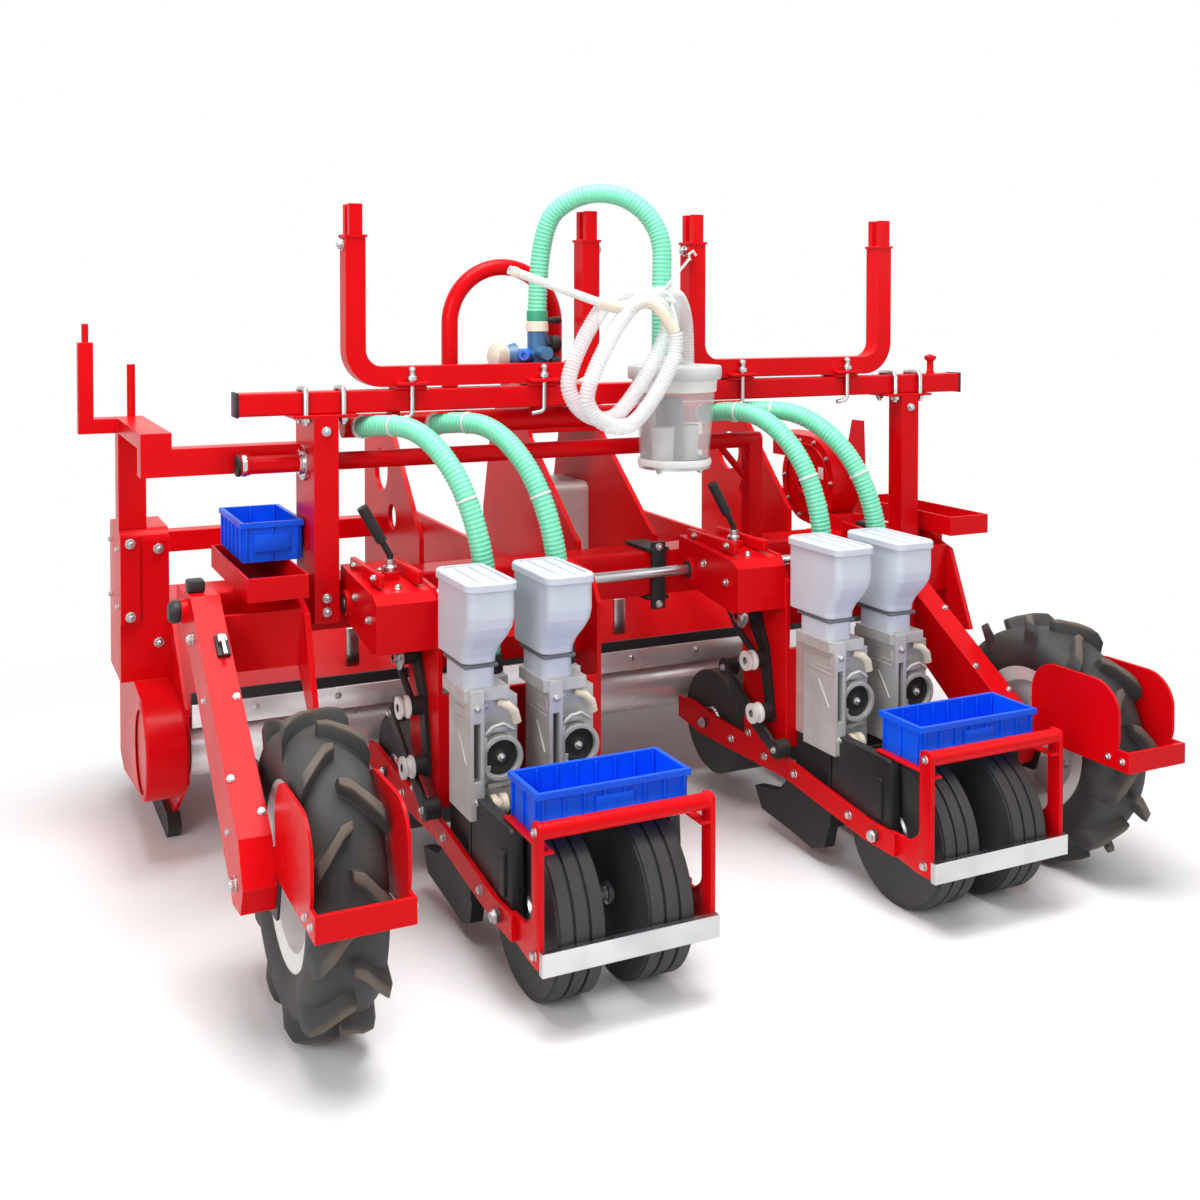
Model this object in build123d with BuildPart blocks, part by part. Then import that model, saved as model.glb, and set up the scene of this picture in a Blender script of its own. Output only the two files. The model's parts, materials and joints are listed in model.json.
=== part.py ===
from build123d import *
import math
import os

os.makedirs("parts", exist_ok=True)

# Millimetres. X to the machine's right, Y forward to the hitch, Z up from the ground.
# X = 0 is the middle of the machine and Y = 0 the axle of the two lugged wheels.

# Fits
RUN_FIT = 0.05          # radial play of a running shaft in its bore
SIDE_GAP = 6.0          # end play beside a turning wheel

# Lugged wheels
WHEELS = (dict(name="left", x=-950.0), dict(name="right", x=800.0))
TYRE_R = 280.0          # to the tips of the lugs
CARCASS_R = 250.0
TYRE_W = 140.0
RIM_R = 150.0
LUGS_PER_SIDE = 11
LUG_LEAN = 40.0
LUG_LEN = 92.0
LUG_W = 27.0
AXLE_R = 20.0
ARM_GAP = 14.0          # between a tyre and the arm that carries it
ARM_W = 60.0

# Main beam
BEAM_RIGHT = 960.0
BEAM = 110.0
BEAM_Y = 600.0
BEAM_Z = 626.0

# Upper toolbar and its posts
BAR_HALF = 985.0
BAR = 50.0
BAR_REAR_Y = 510.0
BAR_BOTTOM_Z = 1056.0
POST_X = 800.0
POST = 55.0
POST_FOOT_Z = 600.0
POST_HEAD = 6.0

# Reel forks that stand on the toolbar
FORK_INNER_X = 125.0
FORK_OUTER_X = 750.0
FORK_TUBE = 46.0
FORK_LIFT = 6.0
FORK_TOP_Z = 1446.0
FORK_BEND = 85.0
PRONG_TOP_Z = 1520.0
PRONG = 16.0
PRONG_SLOT = 20.0

# Cross tube through the left post
CROSS_R = 20.0
CROSS_Y = 573.0
CROSS_Z = 945.0
CROSS_LEFT = -950.0
CROSS_RIGHT = 370.0

# Tiller and bed roller at the front
HOOD_HALF = 1050.0
ROTOR_Y = 1150.0
ROTOR_Z = 300.0
ROTOR_PIPE_R = 45.0
ROTOR_STUB_R = 20.0
ROTOR_FLANGES = 9
ROLLER_Y = 850.0
ROLLER_Z = 255.0
ROLLER_R = 70.0
ROLLER_STUB_R = 16.0
SIDE_PLATE = 10.0
SKID_H = 60.0
CASE_W = 115.0

# Hitch, category 1
HITCH_SPREAD = 683.0    # between the shoulders of the lower pins
HITCH_PIN_R = 11.0
HITCH_PIN_LEN = 90.0
HITCH_Y = 1330.0
HITCH_Z = 640.0
MAST_H = 460.0
TOP_LINK_HOLE_R = 9.7
PTO_R = 17.45
PTO_LEN = 80.0

# Planting units, each with two rows
UNIT_X = (-435.0, 435.0)
ROW_OFFSET = (-152.0, 18.0)
SIDE_BAR_X = 180.0      # inner face of the unit's side bars, from the unit's middle
SIDE_BAR = 10.0
PRESS_Y = -70.0
PRESS_R = 160.0
PRESS_W = 95.0
PRESS_OFFSET = 92.0
PRESS_AXLE_R = 12.0
FRONT_Y = 630.0
FRONT_Z = 200.0
FRONT_R = 133.0
FRONT_W = 125.0
FRONT_OFFSET = 105.0
FRONT_AXLE_R = 12.0
METER_REAR_Y = 70.0
METER_FRONT_Y = 262.0
METER_TOP_Z = 540.0
METER_BOTTOM_Z = 285.0
METER_COLUMN = (-40.0, -10.0)   # across the machine, from the row
METER_HOUSING = (-10.0, 72.0)
METER_DIAL_R = 36.0
HOPPER_Y = 145.0
HOPPER_LEN = 194.0
HOPPER_W = 100.0
HOPPER_SWEEP_X = 28.0   # draw-in of the right side towards the shoulder
HOPPER_SWEEP_Y = 32.0   # draw-in of the rear side towards the shoulder
HOPPER_BULGE_Z = 684.0
HOPPER_SHOULDER_Z = 592.0
HOPPER_NECK = (90.0, 118.0)
HOPPER_TOP_Z = 738.0
HOPPER_WALL = 4.0
HOPPER_CORNER = 18.0
LID_EDGE = 5.0
LID_TOP_Z = 756.0
SHAFT_X = (-765.0, 640.0)
SHAFT_Y = 490.0
SHAFT_Z = 641.0
SHAFT_R = 12.5

# Vacuum line
HOSE_R = 22.0
SPIGOT_X = (-700.0, -525.0, 196.0, 283.0)
SPIGOT_Y = 555.0
MANIFOLD_Y = 600.0
MANIFOLD_Z = 1020.0
MANIFOLD_R = 27.0
INLET_SIDE = 84.0       # from the row, to its right
INLET_Y = 275.0
INLET_Z = 545.0
VALVE_X = -250.0
BUCKET_X = 10.0
BUCKET_Y = 385.0
BUCKET_R = 98.0
BUCKET_BASE_R = 80.0
BUCKET_BASE_Z = 920.0
BUCKET_TOP_Z = 1126.0
BUCKET_WALL = 3.0

# Clear hose in a leaning coil beside the bucket, tied to the right fork, with a lance at its end
CLEAR_R = 18.0
COIL_X = -192.0
COIL_Y = 252.0
COIL_Z = 1182.0
COIL_LEAN = 32.0
COIL_LONG = 360.0
COIL_WIDE = 190.0
COIL_BAND = 62.0
COIL_DEEP = 66.0
LANCE_R = 9.5
LANCE_BORE_R = 7.0
TIE_R = 3.0
TIE_Z = 1412.0

# Ends of the machine, and the shift that sets the middle of its footprint at the origin
MARKER_END_X = -1265.0
SKID_SIDE = 26.0
GUARD_REAR_Y = -318.0
SIDE_FRONT_Y = 1400.0
ROW_X = -(MARKER_END_X + HOOD_HALF + SKID_SIDE) / 2
ROW_Y = -(GUARD_REAR_Y + SIDE_FRONT_Y) / 2

BEAM_LEFT = WHEELS[0]["x"] - TYRE_W / 2 - ARM_GAP - ARM_W
BEAM_REAR = BEAM_Y - BEAM / 2
BEAM_FRONT = BEAM_Y + BEAM / 2
BEAM_TOP = BEAM_Z + BEAM / 2
BEAM_BOTTOM = BEAM_Z - BEAM / 2
BAR_FRONT_Y = BAR_REAR_Y + BAR
BAR_TOP_Z = BAR_BOTTOM_Z + BAR


def block(x, y, z, mode=Mode.ADD):
    """Box between limits given as (low, high)."""
    with Locations(((x[0] + x[1]) / 2, (y[0] + y[1]) / 2, (z[0] + z[1]) / 2)):
        Box(x[1] - x[0], y[1] - y[0], z[1] - z[0], mode=mode)


def rod_x(x, y, z, radius, mode=Mode.ADD):
    """Round bar along X between the limits x."""
    with Locations(Location(((x[0] + x[1]) / 2, y, z), (0, 90, 0))):
        Cylinder(radius, x[1] - x[0], mode=mode)


def rod_y(x, y, z, radius, mode=Mode.ADD):
    """Round bar along Y between the limits y."""
    with Locations(Location((x, (y[0] + y[1]) / 2, z), (90, 0, 0))):
        Cylinder(radius, y[1] - y[0], mode=mode)


def rod_z(x, y, z, radius, mode=Mode.ADD):
    """Round bar along Z between the limits z."""
    with Locations((x, y, (z[0] + z[1]) / 2)):
        Cylinder(radius, z[1] - z[0], mode=mode)


def plate_yz(points, x, mode=Mode.ADD):
    """Plate with a (Y, Z) outline between the limits x."""
    with BuildSketch(Plane.YZ.offset(x[0])) as outline:
        with BuildLine():
            Polyline(*points, close=True)
        make_face()
    extrude(outline.sketch, amount=x[1] - x[0], mode=mode)


def rod_between(start, end, radius, mode=Mode.ADD):
    """Round bar between two points."""
    run = Vector(*end) - Vector(*start)
    with BuildSketch(Plane(origin=start, z_dir=run)) as section:
        Circle(radius)
    extrude(section.sketch, amount=run.length, mode=mode)


def save(solid, name):
    """Set a piece over the middle of the machine's footprint, label it and write it."""
    placed = solid.moved(Location((ROW_X, ROW_Y, 0)))
    placed.label = name
    export_step(placed, "parts/" + name + ".step")


def sides(low, high):
    """Limits on the left and on the right of the machine."""
    return ((-high, -low), (low, high))


# Main beam
with BuildPart() as main_beam:
    block((BEAM_LEFT, BEAM_RIGHT), (BEAM_REAR, BEAM_FRONT), (BEAM_BOTTOM, BEAM_TOP))
    fillet(main_beam.edges().filter_by(Axis.X), 8)
save(main_beam.part, "main_beam")

# Upper toolbar with its end caps
with BuildPart() as upper_toolbar:
    block((-BAR_HALF, BAR_HALF), (BAR_REAR_Y, BAR_FRONT_Y), (BAR_BOTTOM_Z, BAR_TOP_Z))
    fillet(upper_toolbar.edges().filter_by(Axis.X), 4)
save(upper_toolbar.part, "upper_toolbar")

# Posts between the beam and the toolbar: the left one is deep and carries the cross tube
POST_TOP_Z = BAR_BOTTOM_Z - POST_HEAD
with BuildPart() as toolbar_posts:
    for x in sides(POST_X - POST / 2, POST_X + POST / 2):
        block(x, (BEAM_REAR - POST, BEAM_REAR), (POST_FOOT_Z, POST_TOP_Z))
        block((x[0] - 45, x[1] + 45), (BEAM_REAR - POST, BAR_FRONT_Y + 12), (POST_TOP_Z, BAR_BOTTOM_Z))
    deep = (-POST_X - POST / 2, -POST_X + POST / 2)
    block(deep, (BEAM_REAR, BEAM_FRONT), (BEAM_TOP, POST_TOP_Z))
    rod_x(deep, CROSS_Y, CROSS_Z, CROSS_R, mode=Mode.SUBTRACT)
save(toolbar_posts.part, "toolbar_posts")

# Reel forks: a bent tube with a slotted rest on each upright
FORK_Y = (BAR_REAR_Y + 2, BAR_REAR_Y + 2 + FORK_TUBE)
FORK_FOOT_Z = BAR_TOP_Z + FORK_LIFT
EYE_X = (FORK_INNER_X - 10, FORK_INNER_X + 10)
EYE_Y = (FORK_Y[0] - 12, FORK_Y[0])
EYE_Z = (TIE_Z - 12, TIE_Z + 20)
with BuildPart() as reel_forks:
    for low, high in sides(FORK_INNER_X, FORK_OUTER_X):
        with BuildSketch(Plane.XZ.offset(-FORK_Y[1])) as bend:
            with BuildLine():
                FilletPolyline(
                    (low, FORK_TOP_Z), (low, FORK_FOOT_Z), (high, FORK_FOOT_Z), (high, FORK_TOP_Z),
                    radius=FORK_BEND)
                Line((high, FORK_TOP_Z), (high - FORK_TUBE, FORK_TOP_Z))
                FilletPolyline(
                    (high - FORK_TUBE, FORK_TOP_Z),
                    (high - FORK_TUBE, FORK_FOOT_Z + FORK_TUBE),
                    (low + FORK_TUBE, FORK_FOOT_Z + FORK_TUBE),
                    (low + FORK_TUBE, FORK_TOP_Z),
                    radius=FORK_BEND - FORK_TUBE)
                Line((low + FORK_TUBE, FORK_TOP_Z), (low, FORK_TOP_Z))
            make_face()
        extrude(bend.sketch, amount=FORK_TUBE)
        for x in (low, high - FORK_TUBE):
            middle = (FORK_Y[0] + FORK_Y[1]) / 2
            block((x - 3, x + FORK_TUBE + 3), (FORK_Y[0] - 3, FORK_Y[1] + 3), (FORK_TOP_Z, FORK_TOP_Z + 6))
            for y in (middle - PRONG_SLOT / 2 - PRONG, middle + PRONG_SLOT / 2):
                block((x + 8, x + FORK_TUBE - 8), (y, y + PRONG), (FORK_TOP_Z + 6, PRONG_TOP_Z))
        for x in (low + 150, high - 150):
            block((x - 35, x + 35), (BAR_REAR_Y - 8, BAR_FRONT_Y + 8), (BAR_TOP_Z, FORK_FOOT_Z))
    block(EYE_X, EYE_Y, EYE_Z)
    rod_x(EYE_X, (EYE_Y[0] + EYE_Y[1]) / 2, EYE_Z[1] - 8, 3, mode=Mode.SUBTRACT)
save(reel_forks.part, "reel_forks")

# Cross tube with its end plug
with BuildPart() as cross_tube:
    rod_x((CROSS_LEFT, CROSS_RIGHT), CROSS_Y, CROSS_Z, CROSS_R)
    rod_x((CROSS_LEFT - 22, CROSS_LEFT), CROSS_Y, CROSS_Z, CROSS_R + 2)
    block((CROSS_RIGHT - 40, CROSS_RIGHT), (CROSS_Y - 20, CROSS_Y + 20), (BEAM_TOP, CROSS_Z))
    stand = CROSS_RIGHT - 20
    for reach in (-110, -20):
        rod_between((stand, CROSS_Y, CROSS_Z - 120), (stand + reach, CROSS_Y, CROSS_Z), 9)
save(cross_tube.part, "cross_tube")

# Hood over the tiller: a rear apron that slopes to the bed roller, a flat top and a front lip
HOOD_TOP_Z = 546.0
HOOD_OUTER = ((790, 350), (1000, 505), (1060, HOOD_TOP_Z), (1300, HOOD_TOP_Z), (1385, 400))
HOOD_INNER = ((1379, 398), (1296, 540), (1062, 540), (1003.5, 500), (793.5, 345))
with BuildPart() as tiller_hood:
    plate_yz(HOOD_OUTER + HOOD_INNER, (-HOOD_HALF, HOOD_HALF))
save(tiller_hood.part, "tiller_hood")

# Side plates with the bearings of the rotor and of the bed roller
SIDE_OUTLINE = (
    (770, 190), (770, 365), (985, HOOD_TOP_Z), (1310, HOOD_TOP_Z),
    (SIDE_FRONT_Y, 390), (SIDE_FRONT_Y, 120), (1360, SKID_H), (960, SKID_H))
UPRIGHT_OUTLINE = ((1000, HOOD_TOP_Z), (1020, 930), (1070, 930), (1170, HOOD_TOP_Z))
with BuildPart() as side_plates:
    for x in sides(HOOD_HALF, HOOD_HALF + SIDE_PLATE):
        plate_yz(SIDE_OUTLINE, x)
        rod_x(x, ROTOR_Y, ROTOR_Z, ROTOR_STUB_R + RUN_FIT, mode=Mode.SUBTRACT)
        rod_x(x, ROLLER_Y, ROLLER_Z, ROLLER_STUB_R + RUN_FIT, mode=Mode.SUBTRACT)
    plate_yz(UPRIGHT_OUTLINE, (HOOD_HALF, HOOD_HALF + SIDE_PLATE))
save(side_plates.part, "side_plates")

# Skid shoes the tiller parks on
SKID_OUTLINE = (
    (960, 0), (1320, 0), (SIDE_FRONT_Y, 40), (SIDE_FRONT_Y, SKID_H), (960, SKID_H), (930, 30))
with BuildPart() as skid_shoes:
    for x in sides(HOOD_HALF - 6, HOOD_HALF + SKID_SIDE):
        plate_yz(SKID_OUTLINE, x)
save(skid_shoes.part, "skid_shoes")

# Chain case on the left end of the tiller, with the rounded cover of the bed roller's drive
CASE_X = (-HOOD_HALF - SIDE_PLATE - CASE_W, -HOOD_HALF - SIDE_PLATE)
CASE_Y = (1000.0, 1220.0)
CASE_TOP_Z = 750.0
COVER_R = 112.0
COVER_X = (CASE_X[0] + 30, CASE_X[1])
COVER_OUTLINE = (
    (ROLLER_Y, ROLLER_Z + COVER_R), (CASE_Y[1], 400), (CASE_Y[1] + 80, 330),
    (CASE_Y[1] + 80, 120), (CASE_Y[1], 95), (ROLLER_Y, ROLLER_Z - COVER_R))
with BuildPart() as chain_case:
    block(CASE_X, CASE_Y, (380, CASE_TOP_Z))
    fillet(chain_case.edges().filter_by(Axis.X).group_by(Axis.Z)[-1], 30)
    plate_yz(COVER_OUTLINE, COVER_X)
    rod_x(COVER_X, ROLLER_Y, ROLLER_Z, COVER_R)
    strap = (CASE_X[0], CASE_X[0] + 45)
    block(strap, (CASE_Y[0] - 10, CASE_Y[0]), (520, CASE_TOP_Z - 15))
    for y, z, r in ((ROTOR_Y, ROTOR_Z, ROTOR_STUB_R), (ROLLER_Y, ROLLER_Z, ROLLER_STUB_R)):
        rod_x((CASE_X[1] - 20, CASE_X[1]), y, z, r + 3, mode=Mode.SUBTRACT)
save(chain_case.part, "chain_case")

# Headstock: mast, gusset plates, lower hitch pins and the bars to the tiller's ends
MAST_X = 104.0
MAST_PLATE = 12.0
MAST_OUTLINE = (
    (BEAM_FRONT, BEAM_BOTTOM), (BEAM_FRONT, 700), (690, 720), (960, 934), (1000, 1073),
    (1160, 1073), (1240, 934), (1300, 700), (1300, HOOD_TOP_Z), (1060, HOOD_TOP_Z),
    (1000, 600), (760, BEAM_BOTTOM))
GUSSET_X = 521.0
GUSSET_OUTLINE = (
    (BEAM_FRONT, BEAM_BOTTOM), (BEAM_FRONT, 740), (900, 1000), (1110, 1000),
    (1110, HOOD_TOP_Z), (1060, HOOD_TOP_Z), (1000, 600), (760, BEAM_BOTTOM))
EAR_OUTLINE = (
    (BEAM_FRONT, BEAM_BOTTOM), (BEAM_FRONT, BEAM_TOP), (1340, 690), (1375, 660),
    (1375, 620), (1340, 590), (1300, HOOD_TOP_Z), (1060, HOOD_TOP_Z), (1000, 600), (760, BEAM_BOTTOM))
EAR_FACE_X = HITCH_SPREAD / 2 - 24.5
TOP_LINK_Y = 1225.0
TOP_LINK_Z = HITCH_Z + MAST_H
with BuildPart() as headstock:
    for x in sides(MAST_X, MAST_X + MAST_PLATE):
        plate_yz(MAST_OUTLINE, x)
    block((-MAST_X, MAST_X), (1000, 1160), (940, 1073))
    rod_y(0, (990, 1170), 1010, 23, mode=Mode.SUBTRACT)
    for x in sides(27, 39):
        plate_yz(((1160, 960), (1160, 1073), (1200, 1140), (1250, 1140), (1250, 1070)), x)
    rod_x((-60, 60), TOP_LINK_Y, TOP_LINK_Z, TOP_LINK_HOLE_R, mode=Mode.SUBTRACT)
save(headstock.part, "headstock")

with BuildPart() as gusset_plates:
    for x in sides(GUSSET_X, GUSSET_X + MAST_PLATE):
        plate_yz(GUSSET_OUTLINE, x)
        for y, z, r in ((960, 870, 55), (870, 760, 32)):
            rod_x(x, y, z, r, mode=Mode.SUBTRACT)
    for x in ((CASE_X[1], -GUSSET_X - MAST_PLATE), (GUSSET_X + MAST_PLATE, HOOD_HALF)):
        block(x, (1000, 1050), (690, 740))
save(gusset_plates.part, "gusset_plates")

with BuildPart() as hitch_ears:
    for low, high in sides(EAR_FACE_X - MAST_PLATE, EAR_FACE_X):
        plate_yz(EAR_OUTLINE, (low, high))
        out = 1 if low > 0 else -1
        root = out * EAR_FACE_X
        shoulder = out * HITCH_SPREAD / 2
        tip = shoulder + out * HITCH_PIN_LEN
        rod_x((min(root, shoulder), max(root, shoulder)), HITCH_Y, HITCH_Z, HITCH_PIN_R + 9)
        rod_x((min(shoulder, tip), max(shoulder, tip)), HITCH_Y, HITCH_Z, HITCH_PIN_R)
save(hitch_ears.part, "hitch_ears")

# Gearbox between the mast plates with its input stub
with BuildPart() as gearbox:
    block((-MAST_X, MAST_X), (1040, 1250), (HOOD_TOP_Z, 790))
    fillet(gearbox.edges().filter_by(Axis.X), 25)
    rod_y(0, (1250, 1275), 680, 45)
    rod_y(0, (1275, 1275 + PTO_LEN), 680, PTO_R)
save(gearbox.part, "gearbox")

# Marker arm on the left
MARKER_X = (CASE_X[0], CASE_X[0] + 65)
MARKER_Z = 925.0
with BuildPart() as marker_arm:
    block((MARKER_X[0], -POST_X - POST / 2), (600, BEAM_FRONT), (MARKER_Z, MARKER_Z + 60))
    block(MARKER_X, (1020, 1085), (CASE_TOP_Z, MARKER_Z + 60))
    block((MARKER_END_X + 30, MARKER_X[1]), (1020, 1085), (MARKER_Z + 60, MARKER_Z + 95))
    block(MARKER_X, (600, 1085), (MARKER_Z + 60, MARKER_Z + 95))
    block((MARKER_END_X, MARKER_END_X + 35), (1020, 1055), (MARKER_Z + 60, 1205))
    rod_z(MARKER_END_X + 18, 1037, (1205, 1250), 8)
    rod_z(MARKER_X[0] + 35, 1052, (MARKER_Z + 95, 1150), 10)
save(marker_arm.part, "marker_arm")

# Arms that carry the lugged wheels: a bent box on the left of each wheel and a gusset on its right
ARM_OUTLINE = (
    (BEAM_REAR, BEAM_BOTTOM), (BEAM_REAR, 690), (470, 690), (390, 635), (-20, 365), (-60, 290),
    (-40, 240), (30, 232), (400, 505), (480, 560))
GUSSET_SIDE = TYRE_W / 2 + 15
SIDE_GUSSET = 12.0
SIDE_GUSSET_OUTLINE = (
    (BEAM_REAR, BEAM_BOTTOM), (BEAM_REAR, BEAM_TOP), (430, 640), (350, 440), (400, 430))
for wheel in WHEELS:
    face = wheel["x"] - TYRE_W / 2 - ARM_GAP
    gusset = wheel["x"] + GUSSET_SIDE
    with BuildPart() as wheel_arm:
        plate_yz(ARM_OUTLINE, (face - ARM_W, face))
        rod_x((face - ARM_W - 14, face), BEAM_REAR - 30, 652, 26)
        plate_yz(SIDE_GUSSET_OUTLINE, (gusset, gusset + SIDE_GUSSET))
        block((face, gusset), (440, 452), (530, 650))
        rod_x((face, wheel["x"] + 40), 0, TYRE_R, AXLE_R)
        rod_x((wheel["x"] + 40, wheel["x"] + 46), 0, TYRE_R, AXLE_R + 8)
    save(wheel_arm.part, "wheel_arm_" + wheel["name"])

# Guards behind the lugged wheels: a strap round the tyre with a round-topped plate each side
GUARD_STRAP_Z = (300.0, 344.0)
GUARD_PLATE = 6.0
GUARD_PLATE_Y = (-290.0, -40.0)
GUARD_TOP_Z = 482.0
with BuildPart() as wheel_guards:
    for wheel in WHEELS:
        left = wheel["x"] - TYRE_W / 2 - ARM_GAP
        right = wheel["x"] + TYRE_W / 2 + ARM_GAP
        block((left, right), (GUARD_REAR_Y, GUARD_REAR_Y + 8), GUARD_STRAP_Z)
        for x in (left, right - GUARD_PLATE):
            block((x, x + GUARD_PLATE), (GUARD_REAR_Y, -AXLE_R - 4), GUARD_STRAP_Z)
            with BuildSketch(Plane.YZ.offset(x)) as upright:
                with Locations((sum(GUARD_PLATE_Y) / 2, (GUARD_STRAP_Z[0] + GUARD_TOP_Z) / 2)):
                    RectangleRounded(
                        GUARD_PLATE_Y[1] - GUARD_PLATE_Y[0], GUARD_TOP_Z - GUARD_STRAP_Z[0], 70)
            extrude(upright.sketch, amount=GUARD_PLATE)
save(wheel_guards.part, "wheel_guards")

# Trays on the beam's ends
TRAY_Y = (400.0, 820.0)
TRAY_H = 50.0
with BuildPart() as trays:
    for x in sides(862, 990):
        block(x, TRAY_Y, (BEAM_TOP, BEAM_TOP + TRAY_H))
        block((x[0] + 4, x[1] - 4), (TRAY_Y[0] + 4, TRAY_Y[1] - 4), (BEAM_TOP + 4, BEAM_TOP + TRAY_H + 1),
              mode=Mode.SUBTRACT)
save(trays.part, "trays")

# Storage bins with a rim: one on the rims of the left tray, one on each unit
BIN_WALL = 3.0
BIN_RIM = 6.0
BIN_RAIL_Z = 330.0
SIDE_BIN_FOOT = BEAM_TOP + TRAY_H
UNIT_BIN_FOOT = BIN_RAIL_Z + 6
BINS = [dict(x=(-966.0, -838.0), y=(570.0, 812.0), z=(SIDE_BIN_FOOT, SIDE_BIN_FOOT + 88))]
for middle in UNIT_X:
    across = (middle - 154, middle + 154)
    BINS.append(dict(x=across, y=(-172.0, -48.0), z=(UNIT_BIN_FOOT, UNIT_BIN_FOOT + 82)))
with BuildPart() as bins:
    for crate in BINS:
        x, y, z = crate["x"], crate["y"], crate["z"]
        block(x, y, z)
        block((x[0] - BIN_RIM, x[1] + BIN_RIM), (y[0] - BIN_RIM, y[1] + BIN_RIM), (z[1] - 12, z[1]))
        block((x[0] + BIN_WALL, x[1] - BIN_WALL), (y[0] + BIN_WALL, y[1] - BIN_WALL),
              (z[0] + BIN_WALL, z[1] + 1), mode=Mode.SUBTRACT)
save(bins.part, "bins")

# Frames of the planting units: box arm on the left, upright plates, bent side bars
ARM_BOX = (-320.0, -SIDE_BAR_X - SIDE_BAR)
ARM_BOX_OUTLINE = ((BEAM_REAR, 610), (BEAM_REAR, 716), (300, 696), (268, 680), (268, 578), (300, 572))
CRANK_PAD = dict(x=(-266.0, -234.0), y=(384.0, 416.0), top=722.0)
UNIT_PLATE = (
    (BEAM_REAR, 600), (BEAM_REAR, 716), (300, 700), (METER_FRONT_Y, 640), (METER_FRONT_Y, 240),
    (310, 203), (440, 203), (460, 560))
BAR_OUTLINE = (
    (770, 178), (770, 232), (700, 238), (560, 226), (262, 222), (-40, 184), (-132, 184),
    (-132, 137), (-40, 137), (262, 172), (546, 166), (660, 164))
with BuildPart() as unit_frames:
    for middle in UNIT_X:
        plate_yz(ARM_BOX_OUTLINE, (middle + ARM_BOX[0], middle + ARM_BOX[1]))
        pad = (middle + CRANK_PAD["x"][0], middle + CRANK_PAD["x"][1])
        block(pad, CRANK_PAD["y"], (690, CRANK_PAD["top"]))
        rod_x((middle + ARM_BOX[0] - 8, middle + ARM_BOX[0]), SHAFT_Y, SHAFT_Z, SHAFT_R + 16)
        for low, high in sides(SIDE_BAR_X, SIDE_BAR_X + SIDE_BAR):
            x = (middle + low, middle + high)
            plate_yz(UNIT_PLATE, x)
            plate_yz(BAR_OUTLINE, x)
            rod_x(x, PRESS_Y, PRESS_R, PRESS_AXLE_R + RUN_FIT, mode=Mode.SUBTRACT)
            rod_x(x, FRONT_Y, FRONT_Z, FRONT_AXLE_R + RUN_FIT, mode=Mode.SUBTRACT)
        bore = (middle + ARM_BOX[0] - 8, middle + SIDE_BAR_X + SIDE_BAR)
        rod_x(bore, SHAFT_Y, SHAFT_Z, SHAFT_R + RUN_FIT, mode=Mode.SUBTRACT)
        inner = (middle - SIDE_BAR_X, middle + SIDE_BAR_X)
        block(inner, (METER_FRONT_Y, METER_FRONT_Y + 12), (245, 480))
        block(inner, (330, 380), (520, 570))
save(unit_frames.part, "unit_frames")

# Seed meters: a slotted column, a housing with a dial that faces the rear, the seat of the hopper's neck
DIAL_Y = METER_REAR_Y + 8
DIAL_Z = 398.0
NECK_Y = (HOPPER_Y - HOPPER_NECK[1] / 2 - 4, HOPPER_Y + HOPPER_NECK[1] / 2 + 4)
with BuildPart() as meters:
    for middle in UNIT_X:
        for offset in ROW_OFFSET:
            row = middle + offset
            column = (row + METER_COLUMN[0], row + METER_COLUMN[1])
            housing = (row + METER_HOUSING[0], row + METER_HOUSING[1])
            dial = (housing[0] + housing[1]) / 2
            block(column, (METER_REAR_Y, 190), (METER_BOTTOM_Z, METER_TOP_Z))
            slot = (column[0] + 8, column[1] - 8)
            block(slot, (METER_REAR_Y, METER_REAR_Y + 60), (360, 475), mode=Mode.SUBTRACT)
            block(housing, (METER_REAR_Y + 30, METER_FRONT_Y), (METER_BOTTOM_Z, 515))
            rod_y(dial, (DIAL_Y, METER_REAR_Y + 30), DIAL_Z, METER_DIAL_R + 9)
            rod_y(dial, (DIAL_Y, DIAL_Y + 14), DIAL_Z, METER_DIAL_R, mode=Mode.SUBTRACT)
            rod_y(dial, (DIAL_Y + 3, DIAL_Y + 14), DIAL_Z, 8)
            seat = HOPPER_NECK[0] / 2 + 3
            block((row - seat, row + seat), NECK_Y, (515, METER_TOP_Z))
            block((row + 40, row + INLET_SIDE + HOSE_R), (230, INLET_Y + HOSE_R), (490, 515))
            rod_z(row + INLET_SIDE, INLET_Y, (490, INLET_Z), HOSE_R)
save(meters.part, "meters")

# Hoppers on the meters, open at the top: left side upright, right and rear sides drawn in to a shoulder
def level(z, x, y):
    """Section of a hopper at a height, between limits across and along."""
    return dict(z=z, x=x, y=y)


HALF_W = HOPPER_W / 2
HALF_LEN = HOPPER_LEN / 2
FULL_Y = (HOPPER_Y - HALF_LEN, HOPPER_Y + HALF_LEN)
# Belly from the shoulder to the full width: share of the rise, share of the draw-in that is left
BELLY = (
    dict(rise=0.0, drawn=1.0), dict(rise=0.14, drawn=0.97), dict(rise=0.34, drawn=0.76),
    dict(rise=0.56, drawn=0.38), dict(rise=0.78, drawn=0.10), dict(rise=1.0, drawn=0.0))
BELLY_LEVELS = [
    level(
        HOPPER_SHOULDER_Z + part["rise"] * (HOPPER_BULGE_Z - HOPPER_SHOULDER_Z),
        (-HALF_W, HALF_W - HOPPER_SWEEP_X * part["drawn"]),
        (FULL_Y[0] + HOPPER_SWEEP_Y * part["drawn"], FULL_Y[1]))
    for part in BELLY]
MOUTH = level(HOPPER_TOP_Z, (-HALF_W, HALF_W), FULL_Y)
THROAT_X = (-HOPPER_NECK[0] / 2, HALF_W - HOPPER_SWEEP_X)
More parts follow.
